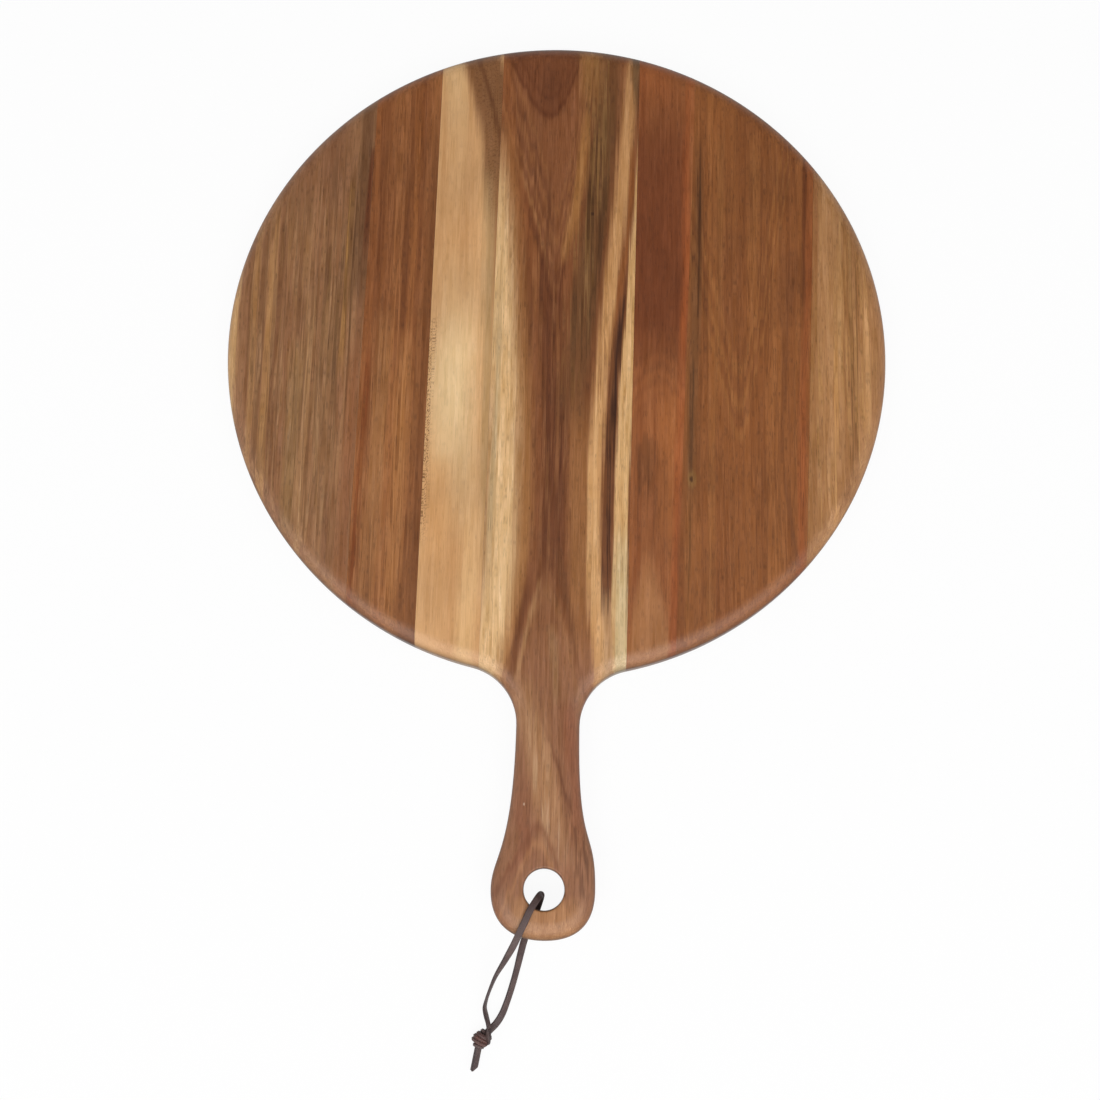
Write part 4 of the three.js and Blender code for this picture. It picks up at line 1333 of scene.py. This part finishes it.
def leather_of(thong):
    """The lace's leather, made once for all its pieces."""
    return bpy.data.materials.get("dyed_cowhide_lace") or lace_leather(thong)


# The stage: a camera high over the handle, looking a little way up the board
CAMERA_PLACE = Vector((0, -242.6, 706.2)) * MM
CAMERA_TILT = math.radians(12.117)
CAMERA_YAW = math.radians(0.354)
CAMERA_ROLL = math.radians(1.020)
CAMERA_LENS = 52.364
CAMERA_SENSOR = 36
CAMERA_NEAR = 0.01
FLOOR_SIZE = 8
FLOOR_DROP = 0.05  # millimetres under the board
FLOOR_GLOW = 0.93  # share of the floor that is plain white to the camera
BACKDROP_RADIUS = 3.9
BACKDROP_HEIGHT = 1.8
BACKDROP_STEPS = 96
WHITE = (1, 1, 1, 1)
# The softboxes, named as the settings that hold their power, with sizes and places in metres
Softbox = namedtuple("Softbox", "name place target width length")
SOFTBOXES = (
    Softbox("side", (-1.5, -0.2, 1.2), (0, 0, 0), 1.4, 2.0),
    Softbox("side", (1.5, -0.2, 1.2), (0, 0, 0), 1.4, 2.0),
    Softbox("front", (0, -1.1, 1.45), (0, -0.05, 0), 2.8, 1.6),
)


def add_camera():
    """The camera, from how it stands: tilted from straight down, turned, and rolled."""
    turn = Matrix.Translation(CAMERA_PLACE)
    for angle, axis in ((CAMERA_YAW, "Z"), (CAMERA_TILT, "X"), (CAMERA_ROLL, "Z")):
        turn = turn @ Matrix.Rotation(angle, 4, axis)
    data = bpy.data.cameras.new("camera")
    data.lens = CAMERA_LENS
    data.sensor_width = CAMERA_SENSOR
    data.clip_start = CAMERA_NEAR
    camera = bpy.data.objects.new("camera", data)
    camera.matrix_world = turn
    bpy.context.collection.objects.link(camera)
    bpy.context.scene.camera = camera


def add_softbox(box, power):
    """A soft rectangular light that faces its target."""
    data = bpy.data.lights.new(box.name + "_softbox", "AREA")
    data.shape = "RECTANGLE"
    data.size = box.width
    data.size_y = box.length
    data.energy = power
    light = bpy.data.objects.new(data.name, data)
    light.location = box.place
    aim = Vector(box.target) - Vector(box.place)
    light.rotation_euler = aim.to_track_quat("-Z", "Y").to_euler()
    bpy.context.collection.objects.link(light)


def seen_directly(tree):
    """1 for what the camera sees itself, in gloss or through glass, and 0 for bounced light."""
    path = node(tree, "LightPath")
    seen = path.outputs["Is Camera Ray"]
    for ray in ("Is Glossy Ray", "Is Transmission Ray"):
        seen = node(tree, "Math", {0: seen, 1: path.outputs[ray]}, operation="MAXIMUM").outputs[0]
    return seen


def studio_paper(colour):
    """A roll of white studio paper: matt, and lit up where the camera sees it so that the shadow on
    it stays faint."""
    material = new_material("studio_paper")
    tree = material.node_tree
    paper = node(tree, "BsdfDiffuse", {"Color": opaque(colour)})
    glow = node(tree, "Emission", {"Color": WHITE, "Strength": 1.0})
    links = {0: seen_directly(tree), 1: FLOOR_GLOW}
    share = node(tree, "Math", links, operation="MULTIPLY")
    links = {0: share.outputs[0], 1: paper.outputs[0], 2: glow.outputs[0]}
    mixed = node(tree, "MixShader", links)
    node(tree, "OutputMaterial", {"Surface": mixed.outputs[0]})
    return material


def light_world(strength):
    """Faint, even light from all round."""
    world = bpy.data.worlds.new("studio")
    world.use_nodes = True
    tree = world.node_tree
    tree.nodes.clear()
    sky = node(tree, "Background", {"Color": WHITE, "Strength": strength})
    node(tree, "OutputWorld", {"Surface": sky.outputs[0]})
    bpy.context.scene.world = world


# Operators

class SERVING_BOARD_OT_stage(Operator):
    """Puts up the camera, the lights and a pale floor."""

    bl_idname = "serving_board.stage"
    bl_label = "Stage"

    def execute(self, context):
        stage = context.scene.serving_board_stage
        context.scene.view_settings.view_transform = "Standard"
        add_camera()
        light_world(stage.sky)
        for box in SOFTBOXES:
            add_softbox(box, getattr(stage, box.name))
        deselect_all()
        bpy.ops.mesh.primitive_plane_add(size=FLOOR_SIZE, location=(0, 0, -FLOOR_DROP * MM))
        floor = context.object
        floor.name = "floor"
        bpy.ops.mesh.primitive_cylinder_add(
            vertices=BACKDROP_STEPS, radius=BACKDROP_RADIUS, depth=BACKDROP_HEIGHT,
            end_fill_type="NOTHING", location=(0, 0, BACKDROP_HEIGHT / 2),
        )
        backdrop = context.object
        backdrop.name = "backdrop"
        paper = studio_paper(stage.floor)
        for piece in (floor, backdrop):
            piece.data.materials.append(paper)
        return {"FINISHED"}


class SERVING_BOARD_OT_thong_knot(Operator):
    """Ties the knot: wraps of lace, a strand that crosses them and those that run through."""

    bl_idname = "serving_board.thong_knot"
    bl_label = "Thong knot"

    def execute(self, context):
        thong = context.scene.serving_board_thong
        lace = flat_lace(thong)
        wrap = [length * MM for length in (WRAP_WIDTH, WRAP_THICKNESS, WRAP_EDGE, WRAP_CROWN)]
        strips = [
            add_strip("wraps", wrap_rings(), lace_section(*wrap)),
            add_strip("crossing_strand", strand_rings(CROSSING_STRAND), lace),
            add_strip("lower_strand", strand_rings(LOWER_STRAND), lace),
            add_strip("through_strands", strand_rings(THROUGH_STRANDS), flat_lace(thong, layers=2)),
        ]
        select_only(strips[0])
        for strip in strips:
            strip.select_set(True)
        bpy.ops.object.join()
        finish_piece(strips[0], "lace_knot", leather_of(thong), "thong", "lace_leather", "thong_knot")
        return {"FINISHED"}


class SERVING_BOARD_OT_thong_tails(Operator):
    """Makes the lace's two free ends, each cut off at a slant."""

    bl_idname = "serving_board.thong_tails"
    bl_label = "Thong tails"

    def execute(self, context):
        thong = context.scene.serving_board_thong
        for tail in TAILS:
            rings = tail_rings(tail, thong)
            strip = add_strip(tail.node, rings, flat_lace(thong))
            run = rings[-1].place - rings[0].place
            run.normalize()
            slant = (thong.lace_width * run + thong.tail_cut * rings[-1].width).normalized()
            middle = rings[-1].place - run * thong.tail_cut / 2
            edit_all(strip)
            bpy.ops.mesh.bisect(plane_co=middle, plane_no=slant, use_fill=True, clear_outer=True)
            bpy.ops.object.mode_set(mode="OBJECT")
            name = tail.node.replace("thong", "lace")
            finish_piece(strip, name, leather_of(thong), "thong", "lace_leather", tail.node)
        return {"FINISHED"}


class SERVING_BOARD_OT_thong_loop(Operator):
    """Lays the lace from the knot over the handle, through the hole and back to the knot."""

    bl_idname = "serving_board.thong_loop"
    bl_label = "Thong loop"

    def execute(self, context):
        thong = context.scene.serving_board_thong
        line = smooth_route(THONG_ROUTE)
        loop = add_strip("lace_loop", lace_rings(line), flat_lace(thong))
        finish_piece(loop, "lace_loop", leather_of(thong), "thong", "lace_leather", "thong_loop")
        return {"FINISHED"}


class SERVING_BOARD_OT_planks(Operator):
    """Makes the board and rips it into its seven planks, each with its own grain."""

    bl_idname = "serving_board.planks"
    bl_label = "Planks"

    def execute(self, context):
        sizes = context.scene.serving_board_sizes
        wood = context.scene.serving_board_wood
        blank = board_blank(sizes)
        for index, plank in enumerate(PLANKS):
            piece = rip_plank(blank, index, sizes)
            slot = "acacia_" + plank.name
            finish_piece(
                piece, "board_" + plank.name, acacia(plank, wood), "board", slot, "plank_" + plank.name
            )
        bpy.data.objects.remove(blank)
        return {"FINISHED"}


class SERVING_BOARD_PT_panel(Panel):
    """Lists what can be made, with the sizes and colours that it is made from."""

    bl_label = "Serving board"
    bl_idname = "SERVING_BOARD_PT_panel"
    bl_space_type = "VIEW_3D"
    bl_region_type = "UI"
    bl_category = "Serving board"

    def draw(self, context):
        for operator in OPERATORS:
            self.layout.operator(operator.bl_idname)
        for group in GROUPS:
            settings = getattr(context.scene, group)
            box = self.layout.box()
            for name in settings.__annotations__:
                box.prop(settings, name)


OPERATORS = (
    SERVING_BOARD_OT_stage,
    SERVING_BOARD_OT_thong_knot,
    SERVING_BOARD_OT_thong_tails,
    SERVING_BOARD_OT_thong_loop,
    SERVING_BOARD_OT_planks,
)
GROUPS = {
    "serving_board_sizes": ServingBoardSizes,
    "serving_board_wood": ServingBoardWood,
    "serving_board_thong": ServingBoardThong,
    "serving_board_stage": ServingBoardStage,
}


def register():
    """Adds the settings, the operators and the panel to Blender."""
    for name, group in GROUPS.items():
        bpy.utils.register_class(group)
        setattr(bpy.types.Scene, name, PointerProperty(type=group))
    for item in (*OPERATORS, SERVING_BOARD_PT_panel):
        bpy.utils.register_class(item)


def unregister():
    """Takes them out again."""
    for item in reversed((*OPERATORS, SERVING_BOARD_PT_panel)):
        bpy.utils.unregister_class(item)
    for name, group in GROUPS.items():
        delattr(bpy.types.Scene, name)
        bpy.utils.unregister_class(group)


def main():
    """Makes the whole scene."""
    register()
    bpy.ops.serving_board.stage()
    bpy.ops.serving_board.thong_knot()
    bpy.ops.serving_board.thong_tails()
    bpy.ops.serving_board.thong_loop()
    bpy.ops.serving_board.planks()


if __name__ == "__main__":
    main()
